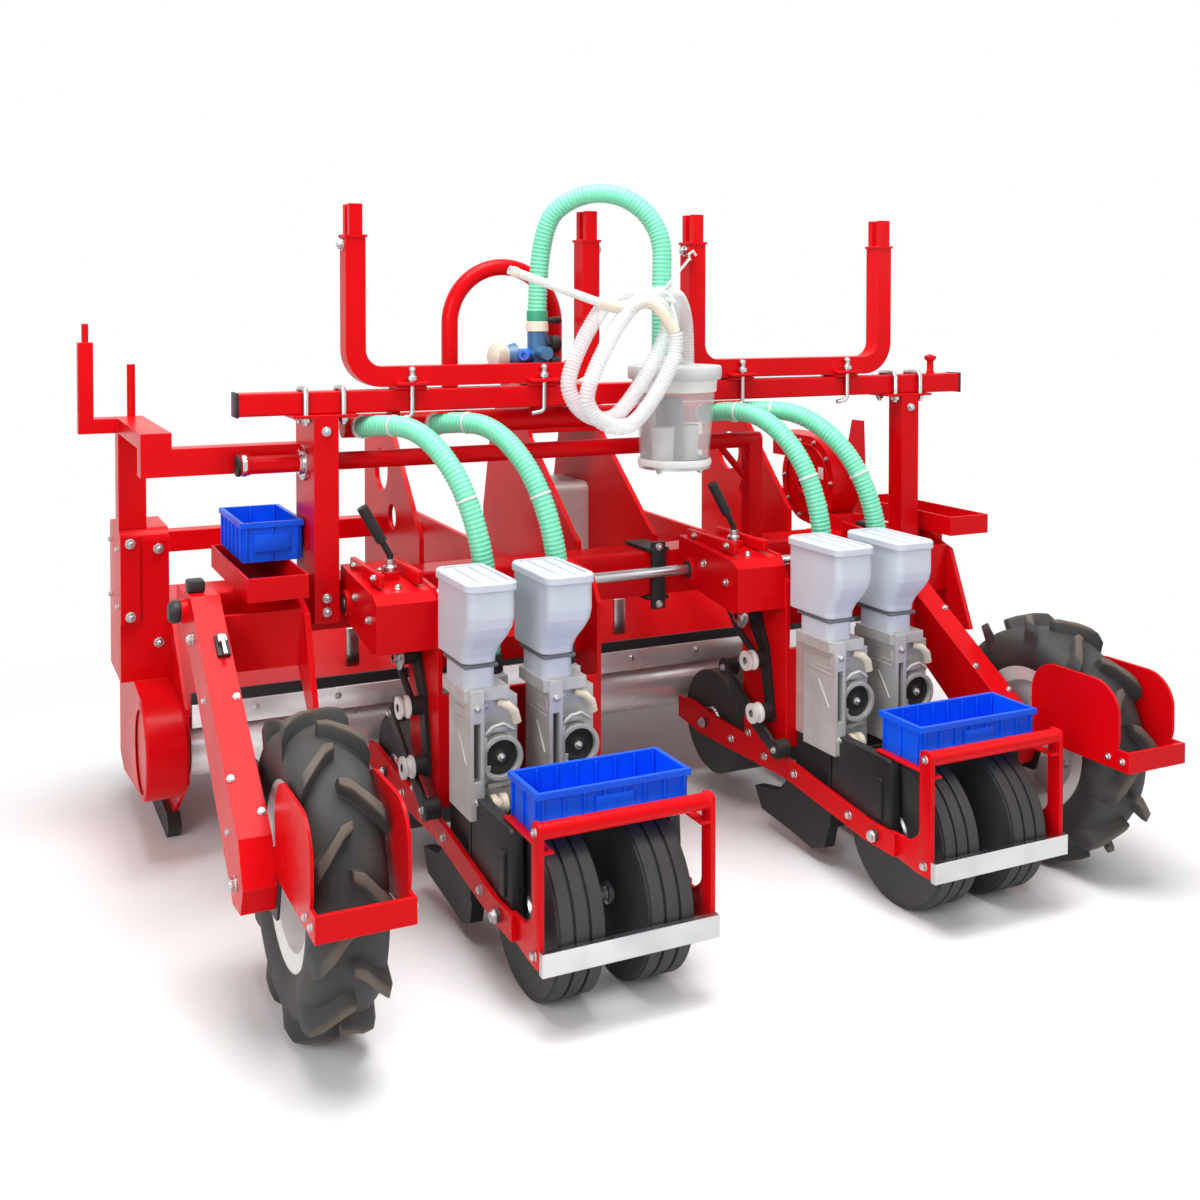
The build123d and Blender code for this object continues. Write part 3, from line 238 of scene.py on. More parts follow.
class Effects:
    """Shader node groups that several finishes share."""

    @staticmethod
    def _group(name: str, inputs: Sequence[Tuple[str, str, object]],
               outputs: Sequence[Tuple[str, str]]) -> Tuple[Wiring, bpy.types.NodeOutputs, bpy.types.Node]:
        """Start a node group with its sockets.

        Args:
            name: Name of the group.
            inputs: Name, kind and default of each input.
            outputs: Name and kind of each output.

        Returns:
            The group's wiring, what it is given, and its output node.
        """
        tree = bpy.data.node_groups.new(name, "ShaderNodeTree")
        for label, kind, value in inputs:
            socket = tree.interface.new_socket(name=label, in_out="INPUT", socket_type="NodeSocket" + kind)
            socket.default_value = value
        for label, kind in outputs:
            tree.interface.new_socket(name=label, in_out="OUTPUT", socket_type="NodeSocket" + kind)
        return Wiring(tree), tree.nodes.new("NodeGroupInput").outputs, tree.nodes.new("NodeGroupOutput")

    @staticmethod
    @lru_cache(maxsize=None)
    def tone() -> bpy.types.NodeTree:
        """Slow drift between two colours with fine grain on top.

        Returns:
            The group, with a Colour, a Mask and a Height.
        """
        wires, given, sink = Effects._group(
            "tone_drift",
            [("Colour", "Color", (1, 1, 1, 1)), ("Second", "Color", (1, 1, 1, 1)),
             ("Patch Scale", "Float", 4.0), ("Grain Scale", "Float", 300.0),
             ("Stretch", "Vector", (1, 1, 1))],
            [("Colour", "Color"), ("Mask", "Float"), ("Height", "Float")])
        place = wires.add("TexCoord")["Object"]
        stretched = wires.add("VectorMath", {0: place, 1: given["Stretch"]}, operation="MULTIPLY")[0]
        patch = wires.add("TexNoise", {"Vector": place, "Scale": given["Patch Scale"], "Detail": 4.0})
        grain = wires.add("TexNoise", {"Vector": stretched, "Scale": given["Grain Scale"], "Detail": 2.0})
        mask = wires.spread(patch["Fac"], 0.35, 0.65)
        colour = wires.blend(mask, given["Colour"], given["Second"])
        wires.feed(sink, {"Colour": colour, "Mask": mask, "Height": grain["Fac"]})
        return wires.tree

    @staticmethod
    @lru_cache(maxsize=None)
    def edges() -> bpy.types.NodeTree:
        """Rounded edges, and a mask of where they are.

        Returns:
            The group, with a Normal and an Edge mask.
        """
        wires, given, sink = Effects._group(
            "soft_edge", [("Radius", "Float", 0.002)], [("Normal", "Vector"), ("Edge", "Float")])
        normal = wires.add("Bevel", {"Radius": given["Radius"]}, samples=4)["Normal"]
        flat = wires.add("NewGeometry")["True Normal"]
        turn = wires.add("VectorMath", {0: normal, 1: flat}, operation="DOT_PRODUCT")["Value"]
        wires.feed(sink, {"Normal": normal, "Edge": wires.spread(turn, 0.995, 0.80)})
        return wires.tree

    @staticmethod
    @lru_cache(maxsize=None)
    def dust() -> bpy.types.NodeTree:
        """Mask of fine dust that settles on faces that look up.

        Returns:
            The group, with a Mask.
        """
        wires, given, sink = Effects._group(
            "settled_dust", [("Amount", "Float", 0.2)], [("Mask", "Float")])
        place = wires.add("TexCoord")
        level = wires.spread(wires.add("SeparateXYZ", {0: place["Normal"]})["Z"], 0.2, 1)
        cloud = wires.add("TexNoise", {"Vector": place["Object"], "Scale": 11.0, "Detail": 6.0})["Fac"]
        both = wires.add("Math", {0: level, 1: cloud}, operation="MULTIPLY")[0]
        wires.feed(sink, {"Mask": wires.add("Math", {0: both, 1: given["Amount"]}, operation="MULTIPLY")[0]})
        return wires.tree

    @staticmethod
    @lru_cache(maxsize=None)
    def ring() -> bpy.types.NodeTree:
        """Mask of what lies outside a radius about a line along X.

        Returns:
            The group, with a Mask.
        """
        wires, given, sink = Effects._group(
            "ring_zone", [("Centre", "Vector", (0, 0, 0)), ("Inner", "Float", 0.1), ("Outer", "Float", 0.11)],
            [("Mask", "Float")])
        place = wires.add("TexCoord")["Object"]
        away = wires.add("VectorMath", {0: place, 1: given["Centre"]}, operation="SUBTRACT")[0]
        flat = wires.add("VectorMath", {0: away, 1: (0, 1, 1)}, operation="MULTIPLY")[0]
        reach = wires.add("VectorMath", {0: flat}, operation="LENGTH")["Value"]
        wires.feed(sink, {"Mask": wires.spread(reach, given["Inner"], given["Outer"])})
        return wires.tree


@dataclass(frozen=True)
class Zone:
    """Second colour outside a radius, in metres, about an axle along X."""

    centre: Point
    inner: float
    outer: float
    colour: Colour


COAT_ROUGHNESS = 0.06
BUMP_STRENGTH = 0.6
DUST_COLOUR: Colour = (0.55, 0.50, 0.45)


@dataclass(frozen=True)
class Finish:
    """Procedural finish of a material slot."""

    slot: Slot
    colour: Colour
    second: Colour
    roughness: Span
    metallic: float = 0.0
    coat: float = 0.0
    specular: float = 0.5
    patch: float = 4.0
    grain: float = 400.0
    height: float = 0.0
    stretch: Point = (1, 1, 1)
    edge: float = 0.0
    # Lighter colour laid along the rounded edges: a painted highlight.
    painted_edge_highlight: Optional[Colour] = None
    dust: float = 0.0
    alpha: float = 1.0
    zone: Optional[Zone] = None
    name: str = ""

    @lru_cache(maxsize=None)
    def material(self) -> bpy.types.Material:
        """Node material of this finish.

        Returns:
            The material, made once and shared.
        """
        made = bpy.data.materials.new(self.name or self.slot.value)
        made.use_nodes = True
        wires = Wiring(made.node_tree)
        tone = wires.add("Group", {"Colour": (*self.colour, 1), "Second": (*self.second, 1),
                                   "Patch Scale": self.patch, "Grain Scale": self.grain,
                                   "Stretch": self.stretch}, node_tree=Effects.tone())
        colour, normal = tone["Colour"], None
        if self.edge:
            soft = wires.add("Group", {"Radius": self.edge}, node_tree=Effects.edges())
            normal = soft["Normal"]
            # Painted highlight: the rounded edges take a lighter colour.
            if self.painted_edge_highlight:
                colour = wires.blend(soft["Edge"], colour, (*self.painted_edge_highlight, 1))
        if self.zone:
            outside = wires.add("Group", {"Centre": row(*self.zone.centre), "Inner": self.zone.inner,
                                          "Outer": self.zone.outer}, node_tree=Effects.ring())
            colour = wires.blend(outside["Mask"], colour, (*self.zone.colour, 1))
        if self.dust:
            film = wires.add("Group", {"Amount": self.dust}, node_tree=Effects.dust())
            colour = wires.blend(film["Mask"], colour, (*DUST_COLOUR, 1))
        if self.height:
            normal = wires.add("Bump", {"Strength": BUMP_STRENGTH, "Distance": self.height,
                                        "Height": tone["Height"], "Normal": normal})["Normal"]
        wires.feed(made.node_tree.nodes["Principled BSDF"], {
            "Base Color": colour, "Roughness": wires.spread(tone["Mask"], *self.roughness, "To"),
            "Metallic": self.metallic, "Coat Weight": self.coat, "Coat Roughness": COAT_ROUGHNESS,
            "Specular IOR Level": self.specular, "Normal": normal, "Alpha": self.alpha})
        return made


class Finishes:
    """The seeder's finishes by slot, and those that differ by node."""

    # The red's edges get a lighter, brighter red as a painted highlight.
    RED = Finish(Slot.RED, (0.66, 0.0015, 0.005), (0.58, 0.001, 0.004), (0.26, 0.36), coat=0.05,
                 specular=0.08, patch=2.5, grain=700.0, height=0.00025, edge=0.003,
                 painted_edge_highlight=(0.86, 0.02, 0.03), dust=0.01)
    BLACK = Finish(Slot.BLACK, (0.012, 0.012, 0.013), (0.020, 0.020, 0.021), (0.40, 0.55), specular=0.3,
                   grain=900.0, height=0.0003, edge=0.002, dust=0.06)
    RUBBER = Finish(Slot.RUBBER, (0.024, 0.024, 0.025), (0.038, 0.037, 0.036), (0.60, 0.75), patch=9.0,
                    grain=600.0, height=0.0004, edge=0.003, dust=0.10)
    TYRE = Finish(Slot.TYRE, (0.026, 0.026, 0.027), (0.045, 0.042, 0.038), (0.62, 0.80), patch=14.0,
                  grain=500.0, height=0.0006, edge=0.003,
                  zone=Zone((0.0, 0.0, 280.0), 0.270, 0.283, (0.13, 0.095, 0.07)))
    RIM = Finish(Slot.RIM, (0.78, 0.78, 0.77), (0.70, 0.70, 0.69), (0.30, 0.42), coat=0.2, patch=6.0,
                 edge=0.003, dust=0.15)
    STEEL = Finish(Slot.STEEL, (0.60, 0.60, 0.61), (0.48, 0.48, 0.49), (0.22, 0.36), metallic=1.0, patch=7.0,
                   grain=900.0, height=0.0001, stretch=(0.08, 1.0, 1.0), edge=0.002)
    BRIGHT = Finish(Slot.STEEL, (0.86, 0.86, 0.87), (0.76, 0.76, 0.77), (0.20, 0.30), metallic=0.55,
                    patch=5.0, grain=900.0, height=0.0001, stretch=(0.08, 1.0, 1.0), edge=0.002,
                    name="bright_steel")
    ALUMINIUM = Finish(Slot.ALUMINIUM, (0.63, 0.63, 0.61), (0.51, 0.51, 0.49), (0.34, 0.46), metallic=0.35,
                       patch=12.0, grain=1200.0, height=0.0004, edge=0.003)
    HOPPER = Finish(Slot.HOPPER, (0.58, 0.62, 0.69), (0.54, 0.58, 0.65), (0.36, 0.46), patch=5.0,
                    grain=1500.0, height=0.0002, edge=0.004)
    HOSE = Finish(Slot.HOSE, (0.20, 0.72, 0.46), (0.17, 0.66, 0.42), (0.34, 0.44), patch=8.0, grain=700.0,
                  height=0.0001)
    CLEAR = Finish(Slot.CLEAR, (0.88, 0.89, 0.90), (0.80, 0.82, 0.84), (0.12, 0.22), patch=10.0, grain=300.0,
                   height=0.0003, alpha=0.56)
    BUCKET = Finish(Slot.CLEAR, (0.84, 0.84, 0.85), (0.78, 0.78, 0.80), (0.10, 0.18), patch=10.0, grain=300.0,
                    height=0.0002, alpha=0.24, name="bucket_clear")
    BLUE = Finish(Slot.BLUE, (0.002, 0.105, 0.88), (0.002, 0.092, 0.80), (0.30, 0.40), specular=0.2,
                  patch=6.0, grain=900.0, height=0.0002, edge=0.0015, dust=0.02)
    VALVE = Finish(Slot.VALVE, (0.045, 0.15, 0.30), (0.035, 0.12, 0.24), (0.32, 0.44), patch=15.0,
                   grain=600.0, height=0.0003, edge=0.002)
    WHITE = Finish(Slot.WHITE, (0.78, 0.78, 0.75), (0.72, 0.72, 0.69), (0.34, 0.46), patch=9.0, grain=900.0,
                   height=0.0002, edge=0.002)
    CREAM = Finish(Slot.WHITE, (0.78, 0.70, 0.56), (0.72, 0.64, 0.50), (0.36, 0.48), patch=9.0, grain=900.0,
                   height=0.0002, name="cream_plastic")
    SILVER = Finish(Slot.WHITE, (0.55, 0.56, 0.55), (0.50, 0.51, 0.50), (0.32, 0.42), patch=9.0, grain=900.0,
                    height=0.0002, edge=0.002, name="silver_plastic")
    GREY = Finish(Slot.WHITE, (0.15, 0.16, 0.18), (0.12, 0.13, 0.15), (0.36, 0.46), patch=9.0, grain=900.0,
                  height=0.0002, name="grey_plastic")
    BRIGHT_BLUE = Finish(Slot.VALVE, (0.01, 0.16, 0.72), (0.01, 0.14, 0.64), (0.30, 0.40), patch=15.0,
                         name="bright_blue")
    CUFF = Finish(Slot.HOSE, (0.03, 0.33, 0.19), (0.03, 0.30, 0.17), (0.40, 0.50), patch=9.0,
                  name="green_cuff")
    AMBER = Finish(Slot.CLEAR, (0.75, 0.66, 0.50), (0.70, 0.62, 0.46), (0.12, 0.20), patch=9.0, alpha=0.55,
                   name="amber_clear")

    NODES: Dict[str, Finish] = {"bucket": BUCKET, "step_bars": STEEL, "bed_roller": BRIGHT}

    @classmethod
    def of(cls, slot: str) -> Finish:
        """Finish of a slot by the slot's name.

        Args:
            slot: Name of the slot in the record.

        Returns:
            The finish.
        """
        plain = [each for each in vars(cls).values() if isinstance(each, Finish) and not each.name]
        return {each.slot.value: each for each in plain}[slot]


def soften(form: bmesh.types.BMesh, parts: Sequence[object], width: float, segments: int = 2,
           affect: str = "EDGES") -> None:
    """Round edges or corners of a form.

    Args:
        form: The form.
        parts: Its edges or corners.
        width: Width of the rounding in millimetres.
        segments: Steps across the rounding.
        affect: EDGES or VERTICES.
    """
    bmesh.ops.bevel(form, geom=parts, offset=width / MILLI, offset_type="OFFSET", affect=affect,
                    segments=segments, profile=0.5, material=-1)


def raise_faces(form: bmesh.types.BMesh, vec: Point) -> None:
    """Draw the faces of a flat form out to a solid.

    Args:
        form: The form.
        vec: Way and reach in metres.
    """
    grown = bmesh.ops.extrude_face_region(form, geom=list(form.faces))["geom"]
    far = [each for each in grown if isinstance(each, bmesh.types.BMVert)]
    bmesh.ops.translate(form, vec=vec, verts=far)


def spin(form: bmesh.types.BMesh, profile: Sequence[Span], steps: int) -> None:
    """Turn a profile about the Z axis.

    Args:
        form: Form that takes the faces.
        profile: Radius and height of each point, in metres.
        steps: Facets round the axis.
    """
    line = [form.verts.new((radius, 0, height)) for radius, height in profile]
    runs = [form.edges.new(pair) for pair in zip(line, line[1:])]
    bmesh.ops.spin(form, geom=line + runs, cent=(0, 0, 0), axis=(0, 0, 1), angle=math.tau,
                   steps=steps, use_merge=True, use_duplicate=False)


def bearings(places: Sequence[Vector]) -> Tuple[List[Vector], List[Vector]]:
    """Directions along and across a bent line that don't twist about it.

    Args:
        places: Points of the line.

    Returns:
        The way on and one way across at each point.
    """
    runs = [(b - a).normalized() for a, b in zip(places, places[1:])]
    ways = [runs[0]] + [(a + b).normalized() for a, b in zip(runs, runs[1:])] + [runs[-1]]
    sides = [ways[0].orthogonal().normalized()]
    for way in ways[1:]:
        side = sides[-1] - way * sides[-1].dot(way)
        sides.append(side.normalized())
    return ways, sides


class Workpiece:
    """One new piece under construction, in the row frame."""

    # Radius and height of a bolt's washer and head, and its end's profile, as shares of the thread.
    WASHER: Span = (1.05, 0.16)
    HEAD: Span = (0.92, 0.62)
    END: Outline = ((0.5, 0), (0.5, 0.18), (0.36, 0.3), (0, 0.3))

    def __init__(self, name: str) -> None:
        """Start an empty piece.

        Args:
            name: Name of the finished object.
        """
        self.name = name
        self.mesh = bmesh.new()

    def join(self, form: bmesh.types.BMesh, place: Optional[Matrix] = None) -> None:
        """Add a finished form to the piece.

        Args:
            form: The form, which is freed.
            place: Where it goes, if it isn't in the row frame yet.
        """
        bmesh.ops.recalc_face_normals(form, faces=list(form.faces))
        bmesh.ops.transform(form, matrix=place or Matrix.Identity(4), verts=list(form.verts))
        carrier = bpy.data.meshes.new(self.name)
        form.to_mesh(carrier)
        form.free()
        self.mesh.from_mesh(carrier)
        bpy.data.meshes.remove(carrier)

    @staticmethod
    def _stood(foot: Vector, along: Vector) -> Matrix:
        """Matrix that stands the Z axis along a direction.

        Args:
            foot: Where the axis starts.
            along: Where it points.

        Returns:
            The matrix.
        """
        return Matrix.Translation(foot) @ UP.rotation_difference(along).to_matrix().to_4x4()

    def bar(self, x: Span, y: Span, z: Span, round_off: float = 2.0) -> None:
        """Block with rounded edges between limits in machine millimetres.

        Args:
            x: Limits along X.
            y: Limits along Y.
            z: Limits along Z.
            round_off: Width of the rounding.
        """
        low, high = row(x[0], y[0], z[0]), row(x[1], y[1], z[1])
        form = bmesh.new()
        bmesh.ops.create_cube(form, size=1.0, matrix=Matrix.Diagonal((*(high - low), 1)))
        soften(form, list(form.edges), round_off)
        self.join(form, Matrix.Translation((low + high) / 2))

    def plate(self, outline: Sequence[Span], x: Span, corner: float, round_off: float = 1.0) -> None:
        """Plate cut to an outline of (Y, Z) with rounded corners, in machine millimetres.

        Args:
            outline: Corners in order.
            x: Limits across the machine.
            corner: Radius of the corners.
            round_off: Width of the rounding of its edges.
        """
        form = bmesh.new()
        form.faces.new([form.verts.new(row(x[0], y, z)) for y, z in outline])
        soften(form, list(form.verts), corner, 6, "VERTICES")
        raise_faces(form, ((x[1] - x[0]) / MILLI, 0, 0))
        rims = [edge for edge in form.edges if abs(edge.verts[0].co.x - edge.verts[1].co.x) < 1e-6]
        soften(form, rims, round_off)
        self.join(form)

    def turned(self, profile: Sequence[Span], foot: Place, along: Vector, steps: int = 24) -> None:
        """Piece turned from a profile of (radius, height), in millimetres.

        Args:
            profile: Radius and height of each point, from the foot up.
            foot: Foot of the axis.
            along: Direction of the axis.
            steps: Facets round the axis.
        """
        form = bmesh.new()
        spin(form, [(radius / MILLI, height / MILLI) for radius, height in profile], steps)
        bmesh.ops.remove_doubles(form, verts=list(form.verts), dist=1e-6)
        self.join(form, self._stood(in_row(foot), along))

    def bolt(self, place: Place, along: Vector, size: float) -> None:
        """Hexagon head with a washer and a domed end, seated on a face.

        Args:
            place: Place on the face.
            along: Direction out of the face.
            size: Thread size in millimetres.
        """
        seat = in_row(place)
        rest, head = size * self.WASHER[1], size * self.HEAD[1]
        self.turned(ring(0, size * self.WASHER[0], rest), seat, along, 16)
        form = bmesh.new()
        bmesh.ops.create_circle(form, cap_ends=True, segments=6, radius=size * self.HEAD[0] / MILLI)
        raise_faces(form, (0, 0, head / MILLI))
        self.join(form, self._stood(seat + along * (rest / MILLI), along))
        tip = seat + along * ((rest + head) / MILLI)
        self.turned([(size * radius, size * height) for radius, height in self.END], tip, along, 12)

    def tube(self, points: Sequence[Place], radius: float, steps: int = 12) -> None:
        """Round bar bent through points, with closed ends.

        Args:
            points: Places along the middle of the bar.
            radius: Radius in millimetres.
            steps: Facets round the bar.
        """
        form = bmesh.new()
        rings = []
        places = [in_row(point) for point in points]
        for number, (place, way, side) in enumerate(zip(places, *bearings(places))):
            turn = Matrix((side, way.cross(side), way)).transposed().to_4x4()
            loop = bmesh.ops.create_circle(form, cap_ends=number in (0, len(places) - 1), segments=steps,
                                           radius=radius / MILLI, matrix=Matrix.Translation(place) @ turn)
            rings.append(list({edge for vert in loop["verts"] for edge in vert.link_edges}))
        for low, high in zip(rings, rings[1:]):
            bmesh.ops.bridge_loops(form, edges=low + high)
        self.join(form)

    def done(self, finish: Finish, body: str = "frame", smooth: float = 40.0) -> bpy.types.Object:
        """Turn the piece into an object that rides on a body.

        Args:
            finish: Its finish.
            body: Body that carries it.
            smooth: Angle in degrees under which faces shade as one.

        Returns:
            The finished object.
        """
        bmesh.ops.recalc_face_normals(self.mesh, faces=list(self.mesh.faces))
        data = bpy.data.meshes.new(self.name)
        self.mesh.to_mesh(data)
        self.mesh.free()
        data.set_sharp_from_angle(angle=math.radians(smooth))
        made = bpy.data.objects.new(self.name, data)
        bpy.context.scene.collection.objects.link(made)
        data.materials.append(finish.material())
        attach(made, body)
        LOG.info("%s: %d faces", self.name, len(data.polygons))
        return made


def turned_piece(name: str, finish: Finish, along: Vector, steps: int,
                 *forms: Tuple[Sequence[Span], Place]) -> None:
    """Fixed piece of turned forms that all point one way.

    Args:
        name: Name of the piece.
        finish: Its finish.
        along: Direction of the axes.
        steps: Facets round the axes.
        *forms: Profile and foot of each form.
    """
    piece = Workpiece(name)
    for profile, foot in forms:
        piece.turned(profile, foot, along, steps)
    piece.done(finish)


def fasten(name: str, along: Vector, size: float, seats: Sequence[Point]) -> None:
    """Set of like bolts on the frame, as one piece.

    Args:
        name: Name of the piece.
        along: Direction out of the faces.
        size: Thread size in millimetres.
        seats: Places on the faces, in machine millimetres.
    """
    piece = Workpiece(name)
    for seat in seats:
        piece.bolt(seat, along.normalized(), size)
    piece.done(Finishes.STEEL)


@dataclass
class Hose:
    """Ribbed hose on a smooth line through its route's points."""

    name: str
    nodes: Tuple[str, ...]
    route: Sequence[Point]
    radius: float
    finish: Finish
    pitch: float = 9.5
    rib: float = 1.6
    far_end: str = "object"
    stiffness: str = "medium"
    lay: str = "hanging"
    steps: int = 20

    def line(self) -> List[Vector]:
        """Points read from the route's NURBS spline.

        Returns:
            Places along the middle of the hose, in the row frame.
        """
        curve = bpy.data.curves.new(self.name + "_route", "CURVE")
        curve.dimensions = "3D"
        curve.resolution_u = 24
        spline = curve.splines.new("NURBS")
        spline.points.add(len(self.route) - 1)
        for point, place in zip(spline.points, self.route):
            point.co = (*row(*place), 1)
        spline.order_u = 3
        spline.use_endpoint_u = True
        holder = bpy.data.objects.new(self.name + "_route", curve)
        read = bpy.data.meshes.new_from_object(holder)
        places = [vert.co.copy() for vert in read.vertices]
        bpy.data.objects.remove(holder)
        bpy.data.curves.remove(curve)
        bpy.data.meshes.remove(read)
        return places

    def at(self, share: float) -> Tuple[Vector, Vector]:
        """Place and direction at a share of the line's points.

        Args:
            share: Share from the start of the line.

        Returns:
            The place and the direction there.
        """
        places = self.line()
        number = int(share * (len(places) - 2))
        return places[number], (places[number + 1] - places[number]).normalized()

    def build(self, with_pieces: Sequence[bpy.types.Object] = ()) -> None:
        """Args:
            with_pieces: Pieces that sit on the hose; not used.
        """
        places = self.line()
        reach = [0]
        for a, b in zip(places, places[1:]):
            reach.append(reach[-1] + (b - a).length)
        length = reach[-1]
        ribs = max(int(length * MILLI / self.pitch), 4)
        outer = self.radius / MILLI
        inner = (self.radius - self.rib) / MILLI
        profile = [(radius, (number + share) / ribs * length) for number in range(ribs)
                   for share, radius in ((0, inner), (0.22, outer), (0.5, outer), (0.72, inner))]
        piece = Workpiece(self.name)
        spin(piece.mesh, profile + [(inner, length)], self.steps)
        self._lay(piece, places, reach)
        made = piece.done(self.finish, smooth=60.0)
        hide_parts(*self.nodes)
        LOG.info("%s: %.3f m long", self.name, length)

    @staticmethod
    def _lay(piece: Workpiece, places: Sequence[Vector], reach: Sequence[float]) -> None:
        """Bend a straight tube along the line.

        Args:
            piece: Tube along Z from the origin.
            places: Points along the line.
            reach: Length of the line up to each point.
        """
        ways, sides = bearings(places)
        number = 0
        for vert in sorted(piece.mesh.verts, key=lambda each: each.co.z):
            height = min(max(vert.co.z, 0), reach[-1])
            while number < len(reach) - 2 and reach[number + 1] < height:
                number += 1
            share = (height - reach[number]) / max(reach[number + 1] - reach[number], 1e-9)
            middle = places[number].lerp(places[number + 1], share)
            way = ways[number].lerp(ways[number + 1], share).normalized()
            side = sides[number].lerp(sides[number + 1], share)
            side = (side - way * side.dot(way)).normalized()
            vert.co = middle + side * vert.co.x + way.cross(side) * vert.co.y


@dataclass
class VacuumLine:
    """Hoses from the manifold to the meters and from the valve to the bucket."""

    spigots: Tuple[float, ...] = (-700, -525, 196, 283)
    spigot_y: float = 555.0
    manifold_z: float = 1020.0
    inlet_side: float = 84.0
    inlet: Span = (275, 545)
    radius: float = 23.5
    band_shares: Span = (0.16, 0.62)
    cuff: Outline = ((20, 0), (26.5, 0), (27.5, 8), (26.5, 40), (23.6, 44))
    shape: Tuple[Point, ...] = ((0, 0, 0), (0.14, -70, 12), (0.42, -150, 5), (0.66, -236, -70),
        (0.84, -280, -185), (0.97, -282, -330), (1, -280, -475))
    over: Tuple[Point, ...] = ((-250, 600, 1250), (-250, 600, 1475), (-181, 543, 1562), (-84, 462, 1562),
        (-8, 411, 1475), (-15, 405, 1330), (-15, 405, 1170))

    def build(self) -> None:
        """Make the five hoses, the cuffs at their ends and the bands that hold them."""
        bands = Workpiece("hose_clamps")
        cuffs = Workpiece("hose_cuffs")
        for number, (start, place) in enumerate(zip(self.spigots, ROWS), start=1):
            end = place + self.inlet_side
            route = [(start + part * (end - start), self.spigot_y + back, self.manifold_z + drop)
                     for part, back, drop in self.shape]
            hose = Hose("hose_green_%d" % number, ("hose_%d" % number,), route, self.radius, Finishes.HOSE)
            hose.build()
            for share in self.band_shares:
                bands.turned(ring(22, 24.8, 5), *hose.at(share), 28)
            bands.turned(ring(20, 25.8, 13), (start, self.spigot_y - 6, self.manifold_z), FRONT, 28)
            cuffs.turned(self.cuff, (end, self.inlet[0], self.inlet[1] - 34), UP, 28)
        Hose("hose_green_5", ("hose_5",), self.over, self.radius, Finishes.HOSE).build()
        bands.turned(ring(20, 26, 16), (-15, 405, 1162), UP, 28)
        bands.done(Finishes.WHITE)
        cuffs.done(Finishes.BLACK)


@dataclass
class ClearHose:
    """Clear ribbed hose from the bucket in loose loops, with its lance and tie."""

    lead: Tuple[Point, ...] = ((70, 430, 1156), (70, 430, 1230), (43, 403, 1291), (-5, 356, 1324))
    centre: Point = (-192, 252, 1182)
    lean: float = 32.0
    start_size: Span = (142, 78)
    growth: Span = (12, 5)
    spread: Span = (-24, 32)
    spread_turns: float = 1.7
    waves: Point = (2.1, 1.3, 2.6)
    blunt: float = 2.0
    sag: float = 9.0
    front: float = 18.0
    fan: float = -20.0
    sweep: float = 690.0
    step: float = 30.0
    radius: float = 18.0
    lance: Tuple[Point, Point] = ((-200, 252, 1283), (-468, 252, 1370))
    knots: Tuple[Tuple[Point, ...], ...] = (
        ((118, 498, 1406), (112, 494, 1420), (124, 493, 1428), (134, 497, 1418)),
        ((-102, 258, 1330), (-84, 240, 1318), (-88, 214, 1300), (-108, 216, 1310)))

    def spot(self, along: float, across: float, out: float) -> Point:
        """Place on the leaning coil.

        Args:
            along: Millimetres up the coil's long axis.
            across: Millimetres across it, to the right.
            out: Millimetres towards the front.

        Returns:
            The place in machine millimetres.
        """
        tilt = math.radians(self.lean)
        return (self.centre[0] + along * math.sin(tilt) + across * math.cos(tilt), self.centre[1] + out,
                self.centre[2] + along * math.cos(tilt) - across * math.sin(tilt))

    def loop(self, angle: float) -> Point:
        """Place on the loops, which drift a little in size from turn to turn.

        Args:
            angle: Degrees from the start of the first loop.

        Returns:
            The place in machine millimetres.
        """
        turns = angle / 360.0
        swing = math.radians(angle)
        long_wave, wide_start, wide_wave = self.waves
        long_half = self.start_size[0] + self.growth[0] * math.sin(long_wave * turns)
        wide_half = self.start_size[1] + self.growth[1] * math.sin(wide_start + wide_wave * turns)
        aside = self.spread[0] + self.spread[1] * min(turns, self.spread_turns) * min(1, turns)
        ends = (long_half - wide_half) * max(-1, min(1, self.blunt * math.cos(swing)))
        return self.spot(wide_half * math.cos(swing) + ends - self.sag * turns,
                         aside - wide_half * math.sin(swing), self.front + self.fan * turns)

    def build(self) -> None:
        """Make the loops, the elbow of the lance and the knot of the tie."""
        loops = [self.loop(number * self.step) for number in range(int(self.sweep / self.step) + 1)]
        hose = Hose("clear_hose_loops", ("clear_hose",), [*self.lead, *loops], self.radius, Finishes.CLEAR,
                    pitch=7.5, rib=1.3, far_end="tool", stiffness="limp", lay="coiled")
        elbow = Workpiece("lance_elbow")
        bend = [loops[-1], self.spot(136, 14, -12), self.spot(128, -28, -6), self.lance[0],
                (-258, 252, 1301.8)]
        elbow.tube(Hose("lance_bend", (), bend, self.radius, Finishes.CREAM).line(), 13.5, 16)
        hose.build([elbow.done(Finishes.CREAM)])
        way = (row(*self.lance[1]) - row(*self.lance[0])).normalized()
        turned_piece("lance_tip", Finishes.CREAM, way, 20, (
            [(9.4, 0), (11.4, 2), (11.4, 12), (9.4, 15)], row(-458, 252, 1366.6) - way * 0.01))
        knot = Workpiece("tie_knot")
        for points in self.knots:
            knot.tube(points, 3.5, 10)
        knot.done(Finishes.WHITE)


